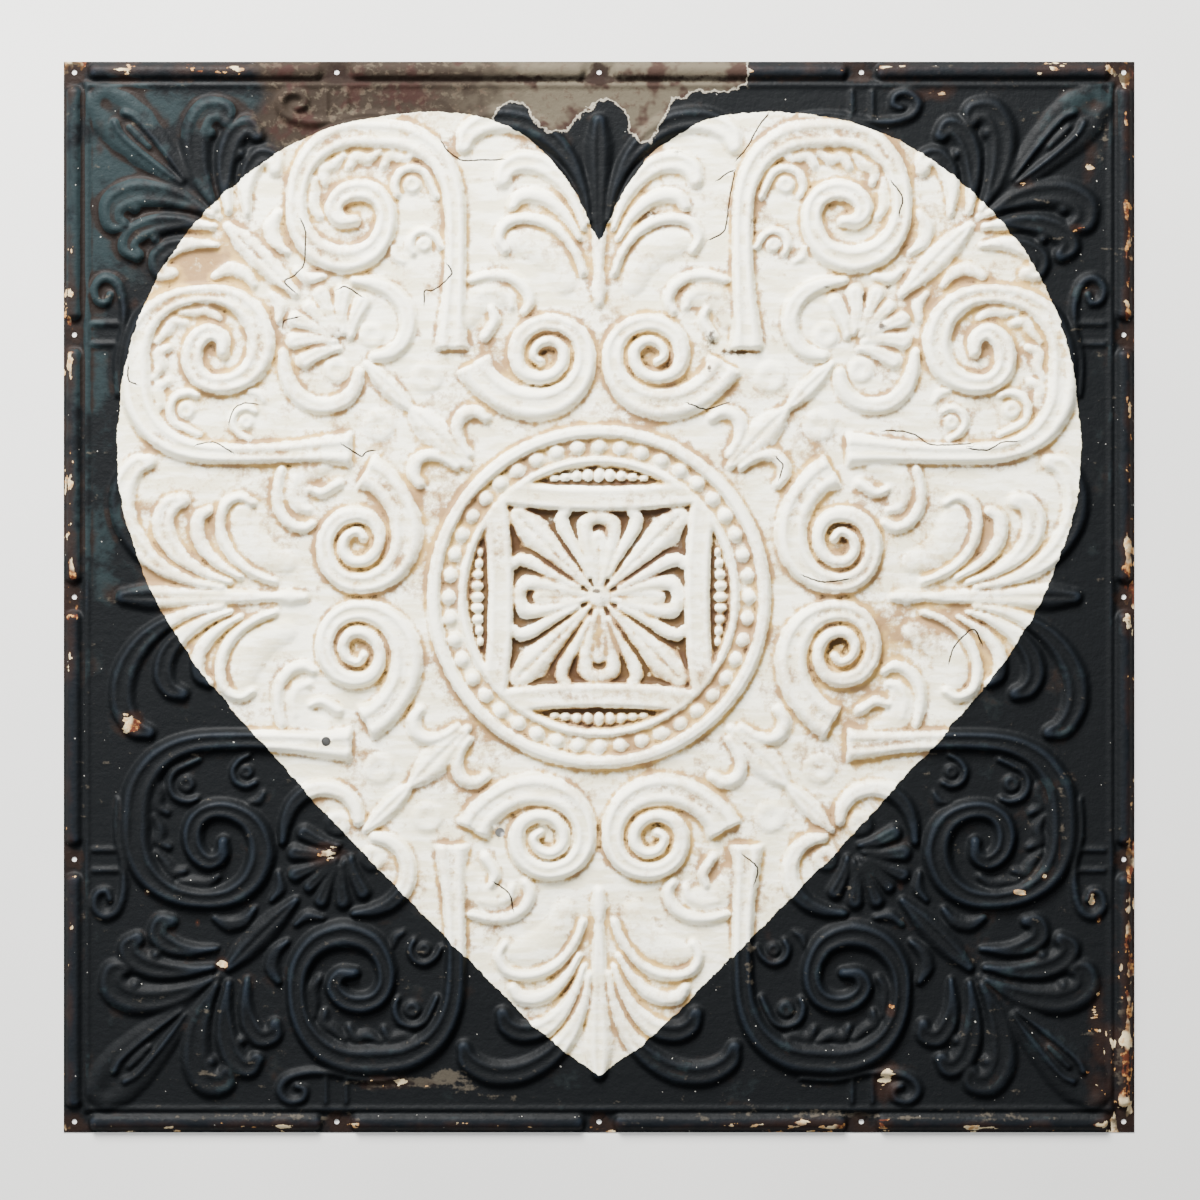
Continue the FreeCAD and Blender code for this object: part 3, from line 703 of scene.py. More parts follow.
@dataclass
class Quadrant:
    """One closed quarter of the dressed sheet, because one mesh of this fineness would be too heavy.

    The front is a fine grid, the back a grid of half that fineness that follows the lowest ground near it,
    and walls close the cut edges, the two joining planes and the holes. The signs carry the first quadrant
    to this one.
    """

    name: str
    signs: Point
    holes: tuple[Hole, ...]
    cut_edge: float = 311.0
    cells: int = 280
    sheet: float = 0.38
    marks: dict[str, Array] = field(default_factory=dict)

    def hole_chains(self) -> list[tuple[Hole, int, int, Array]]:
        """Block of cells taken out round each hole, as the chain of its border.

        Returns:
            For each hole: the hole, the coarse column and row of its block's middle, and the border's steps
            from that middle, in fine cells, open where the block lies across a joining plane.
        """
        coarse = self.cut_edge / (self.cells // 2)
        block = HOLE_BLOCK
        side = np.arange(-block, block)
        far = np.full(2 * block, block)
        full = np.concatenate([np.stack([far, side], 1), np.stack([-side, far], 1),
                               np.stack([-far, -side], 1), np.stack([side, -far], 1)])
        result = []
        for hole in self.holes:
            column, row = round(hole[0] / coarse), round(hole[1] / coarse)
            steps = full
            if column == 0:
                steps = np.vstack([full[7 * block:], full[:3 * block + 1]])
            if row == 0:
                steps = full[block:5 * block + 1]
            result.append((hole, column, row, steps))
        return result

    def build(self, heights: Array, slopes: Array, back: Array) -> bpy.types.Object:
        """Builds the closed mesh with its normals and marks.

        Args:
            heights: top of the sheet over the first quadrant's fine grid, in millimetres.
            slopes: slopes of the top along both axes, one more axis of two.
            back: underside over the coarse grid.

        Returns:
            The object, at the origin, with its place in its mesh.
        """
        n, m = self.cells + 1, self.cells // 2 + 1
        line = np.linspace(0, self.cut_edge, n)
        shell = Shell([np.stack([*np.meshgrid(places, places, indexing="ij"), level], 2).reshape(-1, 3)
                       for places, level in ((line, heights), (line[::2], back))])
        top = np.arange(n * n).reshape(n, n)
        low = n * n + np.arange(m * m).reshape(m, m)
        keep_top = np.ones((n - 1, n - 1), dtype=bool)
        keep_low = np.ones((m - 1, m - 1), dtype=bool)
        cut_x = np.ones(m - 1, dtype=bool)
        cut_y = np.ones(m - 1, dtype=bool)
        half = HOLE_BLOCK // 2
        for hole, column, row, steps in self.hole_chains():
            columns = slice(max(column - half, 0), column + half)
            rows = slice(max(row - half, 0), row + half)
            keep_low[columns, rows] = False
            keep_top[2 * columns.start:2 * columns.stop, 2 * rows.start:2 * rows.stop] = False
            if column == 0:
                cut_y[rows] = False
            if row == 0:
                cut_x[columns] = False
            ring = top[2 * column + steps[:, 0], 2 * row + steps[:, 1]]
            nodes = low[column + steps[::2, 0] // 2, row + steps[::2, 1] // 2]
            self.line_hole(shell, hole, ring, nodes, column > 0 and row > 0)
        grid = np.stack([top[:-1, :-1], top[1:, :-1], top[1:, 1:], top[:-1, 1:]], 2)[keep_top]
        under = np.stack([low[:-1, :-1], low[:-1, 1:], low[1:, 1:], low[1:, :-1]], 2)[keep_low]
        shell.quads = [grid, under] + shell.quads
        self.close_sides(shell, top, low, cut_x, cut_y)
        return self.finish(shell, slopes)

    def line_hole(self, shell: Shell, hole: Hole, ring: Array, nodes: Array, closed: bool) -> None:
        """Joins a hole's round edges to the grids and builds its wall.

        Args:
            shell: the quarter's points and faces.
            hole: the hole's place and radius.
            ring: numbers of the fine grid's points round the hole.
            nodes: numbers of the coarse grid's points round it.
            closed: whether it lies within the quarter, not across a joining plane.
        """
        hx, hy, radius = hole
        edge = shell.points[0][ring]
        angle = np.arctan2(edge[:, 1] - hy, edge[:, 0] - hx)
        circle = np.stack([hx + radius * np.cos(angle), hy + radius * np.sin(angle), edge[:, 2]], 1)
        upper, lower = shell.add_edges(circle, circle - np.array([0, 0, self.sheet]))
        a = np.arange(len(ring) if closed else len(ring) - 1)
        b = (a + 1) % len(ring)
        shell.quads.append(np.stack([upper[a], ring[a], ring[b], upper[b]], 1))
        shell.wall_quads.append(np.stack([lower[a], upper[a], upper[b], lower[b]], 1))
        one = np.arange(len(nodes) if closed else len(nodes) - 1)
        two = (one + 1) % len(nodes)
        first, middle, last = lower[2 * one], lower[2 * one + 1], lower[(2 * one + 2) % len(ring)]
        shell.tris += [np.stack(three, 1) for three in (
            (nodes[one], first, middle), (nodes[one], middle, nodes[two]), (nodes[two], middle, last))]
        if not closed:
            shell.wall_quads.append(np.array([[ring[0], upper[0], lower[0], nodes[0]],
                                              [upper[-1], ring[-1], nodes[-1], lower[-1]]]))

    def close_sides(self, shell: Shell, top: Array, low: Array, cut_x: Array, cut_y: Array) -> None:
        """Closes the cut edges and the two joining planes, apart from the gaps of the holes in these.

        Args:
            shell: the quarter's points and faces.
            top: numbers of the fine grid's points.
            low: numbers of the coarse grid's points.
            cut_x: spans along the first axis that have no hole.
            cut_y: spans along the second.
        """
        whole = np.ones_like(cut_x)
        for upper, lower, kept, turn in (
                (top[:, 0], low[:, 0], cut_x, False), (top[0, :], low[0, :], cut_y, True),
                (top[:, -1], low[:, -1], whole, True), (top[-1, :], low[-1, :], whole, False)):
            a, b, c = upper[:-1:2][kept], upper[1::2][kept], upper[2::2][kept]
            d, e = lower[:-1][kept], lower[1:][kept]
            three = [np.stack([a, d, b], 1), np.stack([b, d, e], 1), np.stack([b, e, c], 1)]
            shell.wall_tris += [t[:, ::-1] for t in three] if turn else three

    def finish(self, shell: Shell, slopes: Array) -> bpy.types.Object:
        """Puts points and faces into a mesh, turned to this quadrant, with normals and marks.

        Args:
            shell: the quarter's points and faces.
            slopes: slopes of the top along both axes at the fine grid.

        Returns:
            The object.
        """
        turned = self.signs[0] * self.signs[1] < 0
        four, three = (np.vstack([block[:, ::-1] if turned else block for block in blocks])
                       for blocks in (shell.quads + shell.wall_quads, shell.tris + shell.wall_tris))
        used, loops = np.unique(np.concatenate([four.ravel(), three.ravel()]), return_inverse=True)
        place = np.vstack(shell.points)[used]
        place[:, :2] *= self.signs
        mesh = bpy.data.meshes.new(self.name)
        mesh.vertices.add(len(used))
        mesh.vertices.foreach_set("co", (place * MM).astype(np.float32).ravel())
        mesh.loops.add(len(loops))
        mesh.loops.foreach_set("vertex_index", loops.astype(np.int32))
        starts = np.concatenate([np.arange(len(four)) * 4, four.size + np.arange(len(three)) * 3])
        mesh.polygons.add(len(starts))
        mesh.polygons.foreach_set("loop_start", starts.astype(np.int32))
        mesh.update(calc_edges=True)
        self.set_normals(mesh, shell, slopes, used[loops])
        self.store_marks(mesh, shell, used)
        piece = bpy.data.objects.new(self.name, mesh)
        bpy.context.scene.collection.objects.link(piece)
        return piece

    def set_normals(self, mesh: bpy.types.Mesh, shell: Shell, slopes: Array, corners: Array) -> None:
        """Sets the smooth surface's normals on the smooth faces, and the faces' own on walls and at holes.

        Args:
            mesh: the mesh.
            shell: the quarter's points and faces.
            slopes: slopes of the top along both axes at the fine grid.
            corners: number of the point at each corner of each face.
        """
        front = np.concatenate([-slopes * self.signs, np.ones(slopes.shape[:2] + (1,))], 2)
        at_holes = np.tile([0.0, 0.0, 1.0], (sum(map(len, shell.points[2:])), 1))
        normals = np.vstack([front.reshape(-1, 3), -front[::2, ::2].reshape(-1, 3), at_holes])
        normals /= np.linalg.norm(normals, axis=1)[:, None]
        kinds = (shell.quads, shell.wall_quads, shell.tris, shell.wall_tris)
        counts = [sum(map(len, blocks)) for blocks in kinds]
        sides = np.array((4, 4, 3, 3))
        flat, below = (np.repeat(kind, counts * sides)
                       for kind in ((False, True, False, True), (False, False, True, False)))
        face_normals = np.zeros(len(mesh.polygons) * 3, dtype=np.float32)
        mesh.polygons.foreach_get("normal", face_normals)
        of_face = np.repeat(face_normals.reshape(-1, 3), np.repeat(sides, counts), axis=0)
        smooth = normals[corners]
        plain = flat | (below & (smooth[:, 2] > 0))
        mesh.normals_split_custom_set(np.where(plain[:, None], of_face, smooth).tolist())

    def store_marks(self, mesh: bpy.types.Mesh, shell: Shell, used: Array) -> None:
        """Writes the marks to the mesh's points, and which of them are of the underside.

        Args:
            mesh: the mesh.
            shell: the quarter's points and faces.
            used: numbers of the points that the mesh has.
        """
        at_holes = np.vstack(shell.points[2:])[:, :2] / (self.cut_edge / self.cells)
        column, row = np.clip(np.rint(at_holes).astype(int), 0, self.cells).T
        layers = {name: np.concatenate([values.ravel(), values[::2, ::2].ravel(), values[column, row]])
                  for name, values in self.marks.items()}
        layers["underside"] = np.concatenate([np.full(len(block), float(index % 2))
                                              for index, block in enumerate(shell.points)])
        for name, values in layers.items():
            layer = mesh.attributes.new(name, "FLOAT", "POINT")
            layer.data.foreach_set("value", values[used].astype(np.float32))


class NodeBench:
    """Short words for building a material's nodes."""

    def __init__(self, name: str) -> None:
        """Starts a material with a Principled shader.

        Args:
            name: the material's name.
        """
        self.material = bpy.data.materials.new(name)
        self.material.use_nodes = True
        self.tree = self.material.node_tree
        self.shader = self.tree.nodes["Principled BSDF"]
        self.place = self.tree.nodes.new("ShaderNodeTexCoord").outputs["Object"]

    def link(self, value: object, socket: Socket) -> None:
        """Links a socket or sets a number or colour."""
        if isinstance(value, Socket):
            self.tree.links.new(value, socket)
        else:
            socket.default_value = value

    def node(self, kind: str, inputs: dict[str | int, object], **settings: str) -> bpy.types.Node:
        """Adds a node.

        Args:
            kind: the node's type, without the words that all of them start with.
            inputs: sockets, numbers or colours for its inputs, by name or place.
            settings: its other settings.

        Returns:
            The node.
        """
        node = self.tree.nodes.new("ShaderNode" + kind)
        for name, value in settings.items():
            setattr(node, name, value)
        for key, value in inputs.items():
            self.link(value, node.inputs[key])
        return node

    def mark(self, name: str) -> Socket:
        """Value of a mark stored on the mesh."""
        return self.node("Attribute", {}, attribute_name=name).outputs["Fac"]

    def sum(self, kind: str, a: object, b: object = 0.0, c: object = 0.0) -> Socket:
        """One sum of two or three values, such as ADD or MULTIPLY_ADD."""
        return self.node("Math", {0: a, 1: b, 2: c}, operation=kind).outputs[0]

    def noise(self, scale: float, detail: float = 4.0, rough: float = 0.55,
              stretch: tuple[float, float, float] = (1.0, 1.0, 1.0), shift: float = 0.0) -> Socket:
        """Cloud-like noise on the tile's own coordinates.

        Args:
            scale: features per metre.
            detail: finer octaves.
            rough: share that each finer octave keeps.
            stretch: factor along each axis.
            shift: moves the pattern, so that two of one scale differ.

        Returns:
            Values round zero, mostly within a fifth.
        """
        mapping = self.node("Mapping", {"Vector": self.place, "Scale": stretch,
                                        "Location": (shift, shift * 0.7, shift * 0.3)})
        clouds = self.node("TexNoise", {"Vector": mapping.outputs[0], "Scale": scale, "Detail": detail,
                                        "Roughness": rough})
        return self.sum("SUBTRACT", clouds.outputs["Fac"], 0.5)

    def jitter(self, value: object, *noises: tuple[Socket, float]) -> Socket:
        """Adds an amount of each noise to a value."""
        for noise, amount in noises:
            value = self.sum("MULTIPLY_ADD", noise, amount, value)
        return value

    def across(self) -> Socket:
        """First coordinate on the tile, in metres."""
        return self.node("SeparateXYZ", {0: self.place}).outputs["X"]

    def step(self, value: object, low: float, high: float, to_low: float = 0.0,
             to_high: float = 1.0) -> Socket:
        """Smooth step of a value between two limits."""
        inputs = {"Value": value, "From Min": low, "From Max": high, "To Min": to_low, "To Max": to_high}
        return self.node("MapRange", inputs, interpolation_type="SMOOTHSTEP").outputs["Result"]

    def mix(self, share: object, a: Socket | Rgb, b: Socket | Rgb) -> Socket:
        """Colour between two colours, each a socket or display values."""
        first, second = (paint(*side) if isinstance(side, tuple) else side for side in (a, b))
        return self.node("Mix", {"Factor": share, 6: first, 7: second}, data_type="RGBA").outputs[2]

    def blend(self, share: object, a: object, b: object) -> Socket:
        """Number between two numbers."""
        return self.node("Mix", {"Factor": share, 2: a, 3: b}, data_type="FLOAT").outputs[0]


def paint(red: int, green: int, blue: int) -> tuple[float, float, float, float]:
    """Linear colour of display values from 0 to 255."""
    share = np.array([red, green, blue]) / 255.0
    linear = np.where(share <= 0.04045, share / 12.92, ((share + 0.055) / 1.055) ** 2.4)
    return float(linear[0]), float(linear[1]), float(linear[2]), 1.0


class PaintBench(NodeBench):
    """Bench with the noises that the coats of paint share, one of them drawn out like brush marks."""

    def __init__(self, name: str) -> None:
        """Starts the material and its noises, from broad to fine."""
        super().__init__(name)
        self.broad = self.noise(9.0, 2.0, 0.6)
        self.mottle = self.noise(42.0, 3.0, 0.6, shift=3.1)
        self.grain = self.noise(210.0, 3.5, 0.64, shift=7.7)
        self.brush = self.noise(95.0, 3.0, 0.55, stretch=(0.4, 2.0, 1.0), shift=5.2)


@dataclass(frozen=True)
class WornPaint:
    """Finish of the sheet: cream heart with a tan glaze, black ground, rusty chips, bare tin underneath."""

    cream: Rgb = (253, 250, 230)
    cream_shade: Rgb = (229, 221, 190)
    glaze: Rgb = (178, 144, 82)
    pink_glaze: Rgb = (138, 106, 68)
    # dark brown of the deepest hollows: pooled glaze and painted shade
    umber_glaze_and_shade: Rgb = (50, 31, 19)
    crack: Rgb = (42, 30, 22)
    black: Rgb = (7, 9, 11)
    # blue-grey of the crests: rubbed paint and a painted highlight
    black_rubbed_and_highlight: Rgb = (18, 25, 33)
    teal: Rgb = (25, 35, 37)
    brown: Rgb = (29, 17, 12)
    rust: Rgb = (68, 34, 22)
    ochre: Rgb = (166, 122, 70)
    old_cream: Rgb = (184, 168, 134)
    tin: Rgb = (36, 29, 23)
    tin_pale: Rgb = (72, 66, 55)
    tin_stain: Rgb = (38, 21, 18)
    # rust round the nails, and painted shade under the top roll's crest
    grime: Rgb = (24, 15, 11)
    scrape: Rgb = (74, 68, 58)
    teal_hollow: Rgb = (24, 18, 15)
    speck: Rgb = (160, 158, 150)
    tin_dirt: Rgb = (58, 46, 38)
    torn_lip: Rgb = (184, 177, 160)
    underside: Rgb = (132, 130, 124)
    painted: float = 0.6  # roughness of both coats
    dull: float = 0.8  # roughness of chips and bare tin
    metal: float = 0.7
    specular: float = 0.09
    bump: float = 0.6
    bump_depth: float = 0.00045

    def cream_coat(self, bench: PaintBench, line: object) -> Socket:
        """Cream brushed on by hand: glaze gathered in the hollows, umber glaze and painted shade in the
        deepest, crests painted brighter as a highlight, thin cracks.

        Args:
            bench: the material's bench, with its noises.
            line: 1 on a crack.

        Returns:
            The coat's colour.
        """
        glazed = bench.jitter(bench.mark("hollow"), (bench.mottle, 2.5), (bench.broad, 2.4),
                              (bench.grain, 2.4))
        cream = bench.mix(bench.step(bench.brush, -0.12, 0.12), self.cream_shade, self.cream)
        # painted highlight: the crests take the brightest cream
        cream = bench.mix(bench.step(bench.mark("crest"), 0.1, 0.6), cream, self.cream)
        glaze = bench.mix(bench.step(bench.mottle, -0.06, 0.1), self.glaze, self.pink_glaze)
        wash = bench.jitter(bench.broad, (bench.mottle, 0.9), (bench.grain, 1.3))
        cream = bench.mix(bench.step(wash, 0.0, 0.22, 0.0, 0.3), cream, self.glaze)
        cream = bench.mix(bench.step(glazed, 0.18, 1.2, 0.0, 0.95), cream, glaze)
        # umber glaze and painted shade: the deepest hollows turn dark brown
        dark = bench.jitter(bench.mark("deep"), (bench.grain, 1.6))
        cream = bench.mix(bench.step(dark, 0.42, 0.85, 0.0, 0.92), cream, self.umber_glaze_and_shade)
        return bench.mix(line, cream, self.crack)

    def black_coat(self, bench: PaintBench) -> Socket:
        """Black paint, blue-grey on the crests, partly rubbed paint and partly a painted highlight,
        grey-green where older paint shows, with pale specks.

        Args:
            bench: the material's bench, with its noises.

        Returns:
            The coat's colour.
        """
        # painted highlight and rubbing: the black turns blue-grey on the crests
        rub_and_highlight = bench.step(bench.jitter(bench.mark("crest"), (bench.mottle, 0.8)), 0.15, 1.1, 0.0, 0.75)
        black = bench.mix(rub_and_highlight, self.black, self.black_rubbed_and_highlight)
        green = bench.mix(bench.step(bench.jitter(bench.mark("hollow"), (bench.mottle, 1.6)), 0.1, 0.5),
                          self.teal, self.teal_hollow)
        share = bench.jitter(bench.mark("teal"), (bench.mottle, 3.4), (bench.grain, 0.8))
        share = bench.step(share, 0.25, 0.95, 0.0, 0.85)
        black = bench.mix(share, black, green)
        scraped = bench.jitter(bench.mark("scrape"), (bench.brush, 2.2), (bench.grain, 2.2))
        black = bench.mix(bench.step(scraped, 0.5, 0.95, 0.0, 0.6), black, self.scrape)
        specks = bench.step(bench.noise(420.0, 1.0, 0.5, shift=9.0), 0.285, 0.31, 0.0, 0.7)
        return bench.mix(specks, black, self.speck)

    def chips(self, bench: PaintBench) -> Socket:
        """Colour where the black has chipped off: old cream, ochre and rust in turn."""
        rusty = bench.mix(bench.step(bench.mottle, 0.0, 0.12), self.rust, self.old_cream)
        return bench.mix(bench.step(bench.grain, 0.0, 0.16, 0.0, 0.85), rusty, self.ochre)

    def bare_tin(self, bench: PaintBench) -> Socket:
        """Colour of the torn-open strip: brown tin on the left, pale old paint with stains on the right."""
        side = bench.step(bench.jitter(bench.across(), (bench.mottle, 0.16)), -0.1, -0.03)
        tin = bench.mix(side, self.tin, self.tin_pale)
        flecks = bench.jitter(bench.grain, (bench.brush, 0.4), (bench.mottle, 0.4))
        tin = bench.mix(bench.step(flecks, 0.02, 0.16, 0.0, 0.6), tin, self.tin_pale)
        tin = bench.mix(bench.step(bench.mottle, 0.02, 0.13, 0.0, 0.85), tin, self.tin_stain)
        return bench.mix(bench.step(bench.grain, 0.04, 0.2, 0.0, 0.7), tin, self.tin_dirt)

    def worn_black(self, bench: PaintBench) -> tuple[Socket, Socket]:
        """Black coat with brown rubs, chips drawn out along the border, the torn-open strip, rust round the
        nails and painted shade along the top roll.

        Args:
            bench: the material's bench, with its noises.

        Returns:
            The colour, and 1 where chips or tin lie open.
        """
        worn = bench.jitter(bench.mark("wear"), (bench.mottle, 1.3))
        black = bench.mix(bench.step(worn, 0.22, 0.6, 0.0, 0.8), self.black_coat(bench), self.brown)
        at_side = bench.step(bench.sum("ABSOLUTE", bench.across()), 0.288, 0.294)
        flake = bench.blend(at_side, bench.noise(150.0, 2.0, 0.6, stretch=(0.5, 1.6, 1.0), shift=2.3),
                            bench.noise(150.0, 2.0, 0.6, stretch=(1.6, 0.5, 1.0), shift=4.1))
        chip = bench.step(bench.jitter(worn, (bench.grain, 0.6), (flake, 1.3)), 0.64, 0.67)
        black = bench.mix(chip, black, self.chips(bench))
        soft = bench.step(bench.across(), -0.14, -0.06, 0.06, 1.0)
        torn = bench.jitter(bench.mark("bare"), (bench.mottle, 9.0), (bench.grain, 7.0))
        torn = bench.sum("MULTIPLY", torn, soft)
        open_tin = bench.step(torn, -0.3, 0.3)
        black = bench.mix(open_tin, black, self.bare_tin(bench))
        # rust round the nails, and painted shade: a dark band along the lower side of the top roll
        stained = bench.jitter(bench.mark("grime"), (bench.grain, 1.4), (bench.mottle, 1.0))
        black = bench.mix(bench.step(stained, 0.25, 0.8, 0.0, 0.9), black, self.grime)
        lip = bench.sum("MULTIPLY", bench.step(torn, -0.2, 0.2), bench.step(torn, 0.9, 1.3, 0.4, 0.0))
        lip = bench.sum("MULTIPLY", lip, bench.step(soft, 0.7, 1.0))
        return bench.mix(lip, black, self.torn_lip), bench.sum("MAXIMUM", chip, open_tin)

    def make(self, name: str) -> bpy.types.Material:
        """Builds the material.

        Args:
            name: the material's name.

        Returns:
            The material.
        """
        bench = PaintBench(name)
        crack = bench.sum("ABSOLUTE", bench.jitter(bench.mark("crack"), (bench.grain, 1.6)))
        line = bench.sum("MULTIPLY", bench.step(crack, 0.26, 0.6, 1.0, 0.0), bench.mark("crack_near"))
        cream = self.cream_coat(bench, line)
        black, bared = self.worn_black(bench)
        edge = bench.jitter(bench.mark("heart"), (bench.mottle, 4.0), (bench.grain, 3.0))
        inside = bench.step(edge, -0.2, 0.2)
        under = bench.step(bench.mark("underside"), 0.4, 0.6)
        back = bench.mix(bench.step(bench.jitter(bench.broad, (bench.mottle, 0.8)), 0.0, 0.16, 0.0, 0.8),
                         self.underside, self.rust)
        face = bench.mix(inside, black, cream)
        bench.link(bench.mix(under, face, back), bench.shader.inputs["Base Color"])
        bench.link(bench.sum("MULTIPLY", under, self.metal), bench.shader.inputs["Metallic"])
        rough = bench.blend(inside, bench.blend(bared, self.painted, self.dull), self.painted)
        bench.link(bench.jitter(rough, (bench.grain, 0.25)), bench.shader.inputs["Roughness"])
        bench.shader.inputs["Specular IOR Level"].default_value = self.specular

        surface = bench.blend(inside, 0.0, bench.sum("SUBTRACT", 0.9, line))
        surface = bench.jitter(surface, (bench.mottle, 1.2), (bench.brush, 0.6), (bench.grain, 1.7))
        bump = bench.node("Bump", {"Strength": self.bump, "Distance": self.bump_depth, "Height": surface})
        bench.link(bump.outputs["Normal"], bench.shader.inputs["Normal"])
        return bench.material


@dataclass
class Tile:
    """The dressed tile: four quarters of one pressed sheet with its paint."""

    relief: Relief = field(default_factory=Relief)
    heart: Heart = field(default_factory=Heart)
    damage: Damage = field(default_factory=Damage)
    cells: int = 280
    nail_radius: float = 1.5
    drill_radius: float = 2.75
    drilled: tuple[Point, ...] = ((-158.1, -83.7), (-57.5, -136.6))
    top: float = 7.26
    dent_count: int = 70
    dent_reach: Point = (9, 40)
    dent_depth: float = 0.16
    dent_field: float = 270

    def marks(self, x: Array, y: Array, heights: Array) -> dict[str, Array]:
        """Where the paint is glazed, rubbed, chipped or bare.

        Hollow and crest are how far the surface lies under or over the mean of its surroundings. Wear grows
        near the cut edge, the nailing pads and a few patches.

        Args:
            x: first coordinate on the tile.
            y: second coordinate.
            heights: top of the sheet.

        Returns:
            The marks by name.
        """
        foot = heights - blur(heights, 5)
        near = heights - blur(heights, 14)
        wide = heights - blur(heights, 60)
        edge = self.relief.cut_edge - np.maximum(np.abs(x), np.abs(y))
        along = np.minimum(np.abs(x), np.abs(y))
        step = self.relief.nail_step
        pad = np.abs((along + step / 2) % step - step / 2)
        wear = 0.27 * ramp(-edge, -12.0, -1.0) + 0.2 * ramp(-edge, -16.0, -6.0) * ramp(-pad, -14.0, -5.0)
        wear = wear + 0.2 * ramp(near, 0.3, 1.2) * ramp(-edge, -14.0, -4.0)
        wear = with_spots(wear, self.damage.worn, x, y)
        bare = distance_inside(np.array(self.damage.strip, dtype=float), x, y)
        teal = with_spots(np.zeros_like(x), self.damage.greened, x, y)
        scrape = with_spots(np.zeros_like(x), self.damage.scraped, x, y)
        stain = with_spots(np.zeros_like(x), self.damage.stained, x, y)
        r = np.hypot(x, y)
        # pooled glaze and painted shade: strongest where the surface lies deepest below its surroundings, and
        # in the medallion; tan stains and dark pits add to it
        deep = ramp(-near, 0.2, 1.1) * ramp(-r, -80.0, -66.0)
        deep = deep + 0.55 * ramp(-near, 0.75, 1.45) + 0.35 * ramp(stain, 0.6, 1.2)
        deep = with_spots(deep, self.damage.darkened, x, y)
        nail = np.hypot(self.relief.cut_edge - edge - self.relief.nail_line, pad)
        # rust ring round each nail, and painted shade: a dark band along the lower side of the top roll's
        # crest
        grime = ramp(-nail, -10.0, -2.0) + Patch(-60, 300.4, 290, 2.6, 0.75).at(x, y)
        crack, crack_near = self.damage.crack_marks(x, y)
        return {
            "heart": distance_inside(self.heart.outline(), x, y),
            "hollow": np.clip(-foot * 1.1 - near * 0.36 - wide * 0.1 + stain, -0.5, 1.6),
            "crest": np.clip(near * 0.6, 0.0, 1.5),
            "wear": wear,
            "bare": bare,
            "teal": teal,
            "scrape": scrape,
            "deep": deep,
            "grime": grime,
            "crack": crack,
            "crack_near": crack_near,
        }

    def nails(self) -> tuple[Hole, ...]:
        """Nail holes that the first quadrant holds, with their radius."""
        line, step = self.relief.nail_line, self.relief.nail_step
        places = ((0.0, line), (step, line), (line, line), (line, step), (line, 0.0))
        return tuple((x, y, self.nail_radius) for x, y in places)

    def dents(self, x: Array, y: Array) -> Array:
        """Small knocks of the thin sheet, smooth over the whole tile and still at its edges.

        Args:
            x: first coordinate on the tile.
            y: second coordinate.

        Returns:
            Height in millimetres to add to the relief.
        """
        rng = np.random.default_rng(7)
        total = np.zeros_like(x)
        for _ in range(self.dent_count):
            cx, cy = rng.uniform(-self.dent_field, self.dent_field, 2)
            size = rng.uniform(*self.dent_reach)
            depth = rng.normal(0, self.dent_depth)
            total += depth * np.exp(-((x - cx) ** 2 + (y - cy) ** 2) / size ** 2)
        edge = self.relief.cut_edge - np.maximum(np.abs(x), np.abs(y))
        return total * ramp(edge, 15.0, 60.0)

    def slopes(self, plain: Array, line: Array, sx: float, sy: float) -> Array:
        """Slopes of the top along both axes of a quadrant, which run on over the two joining planes.

        Args:
            plain: relief over the first quadrant, without the knocks.
            line: places of the grid along an axis.
            sx: sign that carries the first coordinate to the quadrant.
            sy: sign of the second.

        Returns:
            The slopes, one more axis of two.
        """
        step = line[1] - line[0]
        wide = np.concatenate([line[1:2] * -1, line, line[-1:] + step])
        x, y = np.meshgrid(wide, wide, indexing="ij")
        top = np.pad(plain, 1, mode="reflect") + self.dents(x * sx, y * sy)
        top[-1, :], top[:, -1] = top[-2, :], top[:, -2]
        return np.stack([top[2:, 1:-1] - top[:-2, 1:-1], top[1:-1, 2:] - top[1:-1, :-2]], 2) / (2 * step)

    def build(self, finish: WornPaint) -> list[bpy.types.Object]:
        """Builds the four quarters.

        Args:
            finish: the paint.

        Returns:
            The pieces.
        """
        line = np.linspace(0, self.relief.cut_edge, self.cells + 1)
        gx, gy = np.meshgrid(line, line, indexing="ij")
        plain = self.relief.heights(gx, gy)
        material = finish.make("worn_black_and_cream_paint")
        outer = np.maximum(gx, gy) > self.relief.cut_edge - self.relief.bead_from_edge
        pieces = []
        for name, sx, sy in (("sheet_top_right", 1.0, 1.0), ("sheet_top_left", -1.0, 1.0),
                             ("sheet_bottom_left", -1.0, -1.0), ("sheet_bottom_right", 1.0, -1.0)):
            x, y = gx * sx, gy * sy
            top = np.clip(plain + self.dents(x, y), self.relief.sheet, self.top)
            top = np.where(outer, plain, top)
            low = lowest_near(top, 2) - self.relief.sheet
            low = np.maximum(blur(low, 1), 0.0)[::2, ::2]
            low = np.where(outer[::2, ::2] & (top[::2, ::2] < self.relief.sheet + 0.01), 0.0, low)
            holes = self.nails()
            if sx < 0 and sy < 0:
                holes += tuple((-dx, -dy, self.drill_radius) for dx, dy in self.drilled)
            quarter = Quadrant(name, (sx, sy), holes, self.relief.cut_edge, self.cells, self.relief.sheet,
                               self.marks(x, y, top))
            piece = quarter.build(top, self.slopes(plain, line, sx, sy), low)
            piece.data.materials.append(material)
            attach(piece, "root")
            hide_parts("pressed_sheet")
            pieces.append(piece)
            LOG.info("%s: %d points, %d faces", name, len(piece.data.vertices), len(piece.data.polygons))
        return pieces


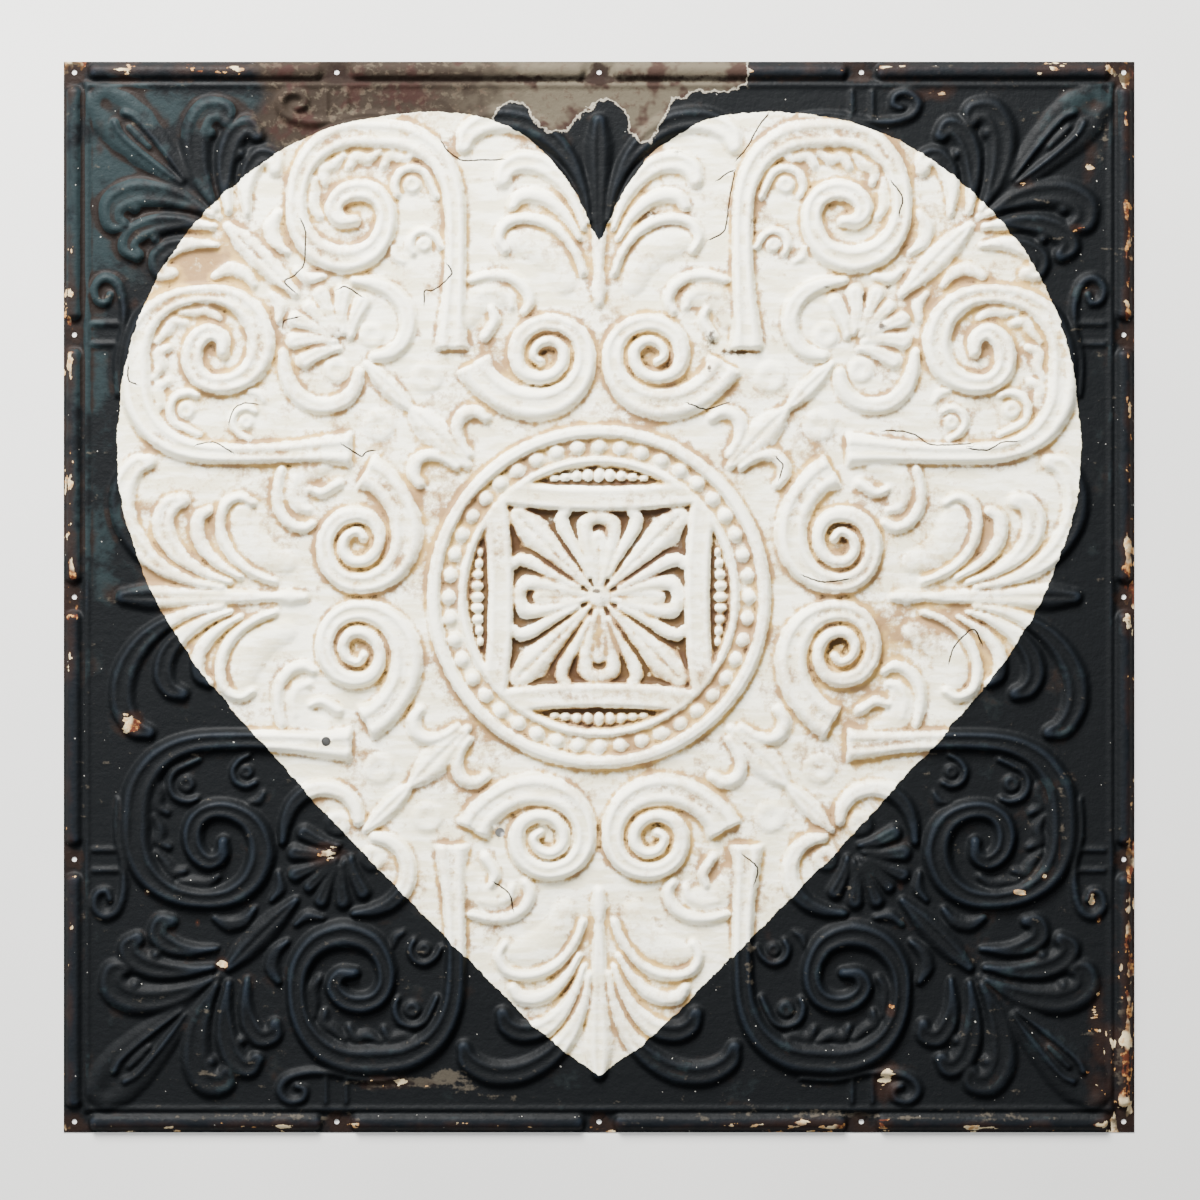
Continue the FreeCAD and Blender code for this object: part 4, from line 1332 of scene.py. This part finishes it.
@dataclass
class Studio:
    """Pale floor, soft lights and the camera straight above the tile, in metres."""

    floor_half: float = 2.2
    aim: tuple[float, float] = (0.00058, -0.00174)
    height: float = 1.937
    lens: float = 100.0
    floor_shade: Rgb = (196, 196, 194)
    floor_light: Rgb = (206, 205, 202)

    def floor(self) -> bpy.types.Object:
        """Builds the floor as one flat square with a quiet mottled finish."""
        side = self.floor_half
        mesh = bpy.data.meshes.new("studio_floor")
        corners = [(-side, -side, 0), (side, -side, 0), (side, side, 0), (-side, side, 0)]
        mesh.from_pydata(corners, [], [(0, 1, 2, 3)])
        floor = bpy.data.objects.new("studio_floor", mesh)
        bpy.context.scene.collection.objects.link(floor)
        bench = NodeBench("pale_floor")
        shade = bench.mix(bench.step(bench.noise(3.0, 3.0), -0.3, 0.3), self.floor_shade,
                          self.floor_light)
        bench.link(shade, bench.shader.inputs["Base Color"])
        bench.shader.inputs["Roughness"].default_value = 0.85
        mesh.materials.append(bench.material)
        return floor

    def light(self, name: str, place: tuple[float, float, float], size: float, power: float,
              colour: tuple[float, float, float]) -> None:
        """Sets one square soft light that faces the tile.

        Args:
            name: the light's name.
            place: where it hangs.
            size: side of its square.
            power: watts.
            colour: its tint.
        """
        lamp = bpy.data.lights.new(name, "AREA")
        lamp.size = size
        lamp.energy = power
        lamp.color = colour
        holder = bpy.data.objects.new(name, lamp)
        bpy.context.scene.collection.objects.link(holder)
        holder.location = place
        x, y, z = place
        holder.rotation_euler = (math.atan2(math.hypot(x, y), z), 0.0, math.atan2(y, x) + math.pi / 2)

    def build(self) -> None:
        """Builds floor, lights, world and camera."""
        self.floor()
        self.light("key_from_top", (-0.55, 1.75, 1.15), 0.8, 290.0, (1.0, 0.99, 0.97))
        self.light("fill_from_left", (-1.9, 0.2, 1.3), 1.2, 36.0, (0.98, 0.99, 1.0))
        self.light("overhead", (0.3, -0.4, 2.6), 1.8, 27.0, (1.0, 1.0, 1.0))
        world = bpy.data.worlds.new("soft_grey")
        world.use_nodes = True
        world.node_tree.nodes["Background"].inputs["Color"].default_value = (0.8, 0.83, 0.88, 1.0)
        world.node_tree.nodes["Background"].inputs["Strength"].default_value = 0.33
        bpy.context.scene.world = world
        camera = bpy.data.cameras.new("camera")
        camera.lens = self.lens
        camera.sensor_width = 36.0
        holder = bpy.data.objects.new("camera", camera)
        holder.location = (self.aim[0], self.aim[1], self.height)
        bpy.context.scene.collection.objects.link(holder)
        bpy.context.scene.camera = holder


def main() -> None:
    """Builds the tile and the studio."""
    logging.basicConfig(level=logging.INFO, format="%(message)s")
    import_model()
    Studio().build()
    Tile().build(WornPaint())


if __name__ == "__main__":
    main()
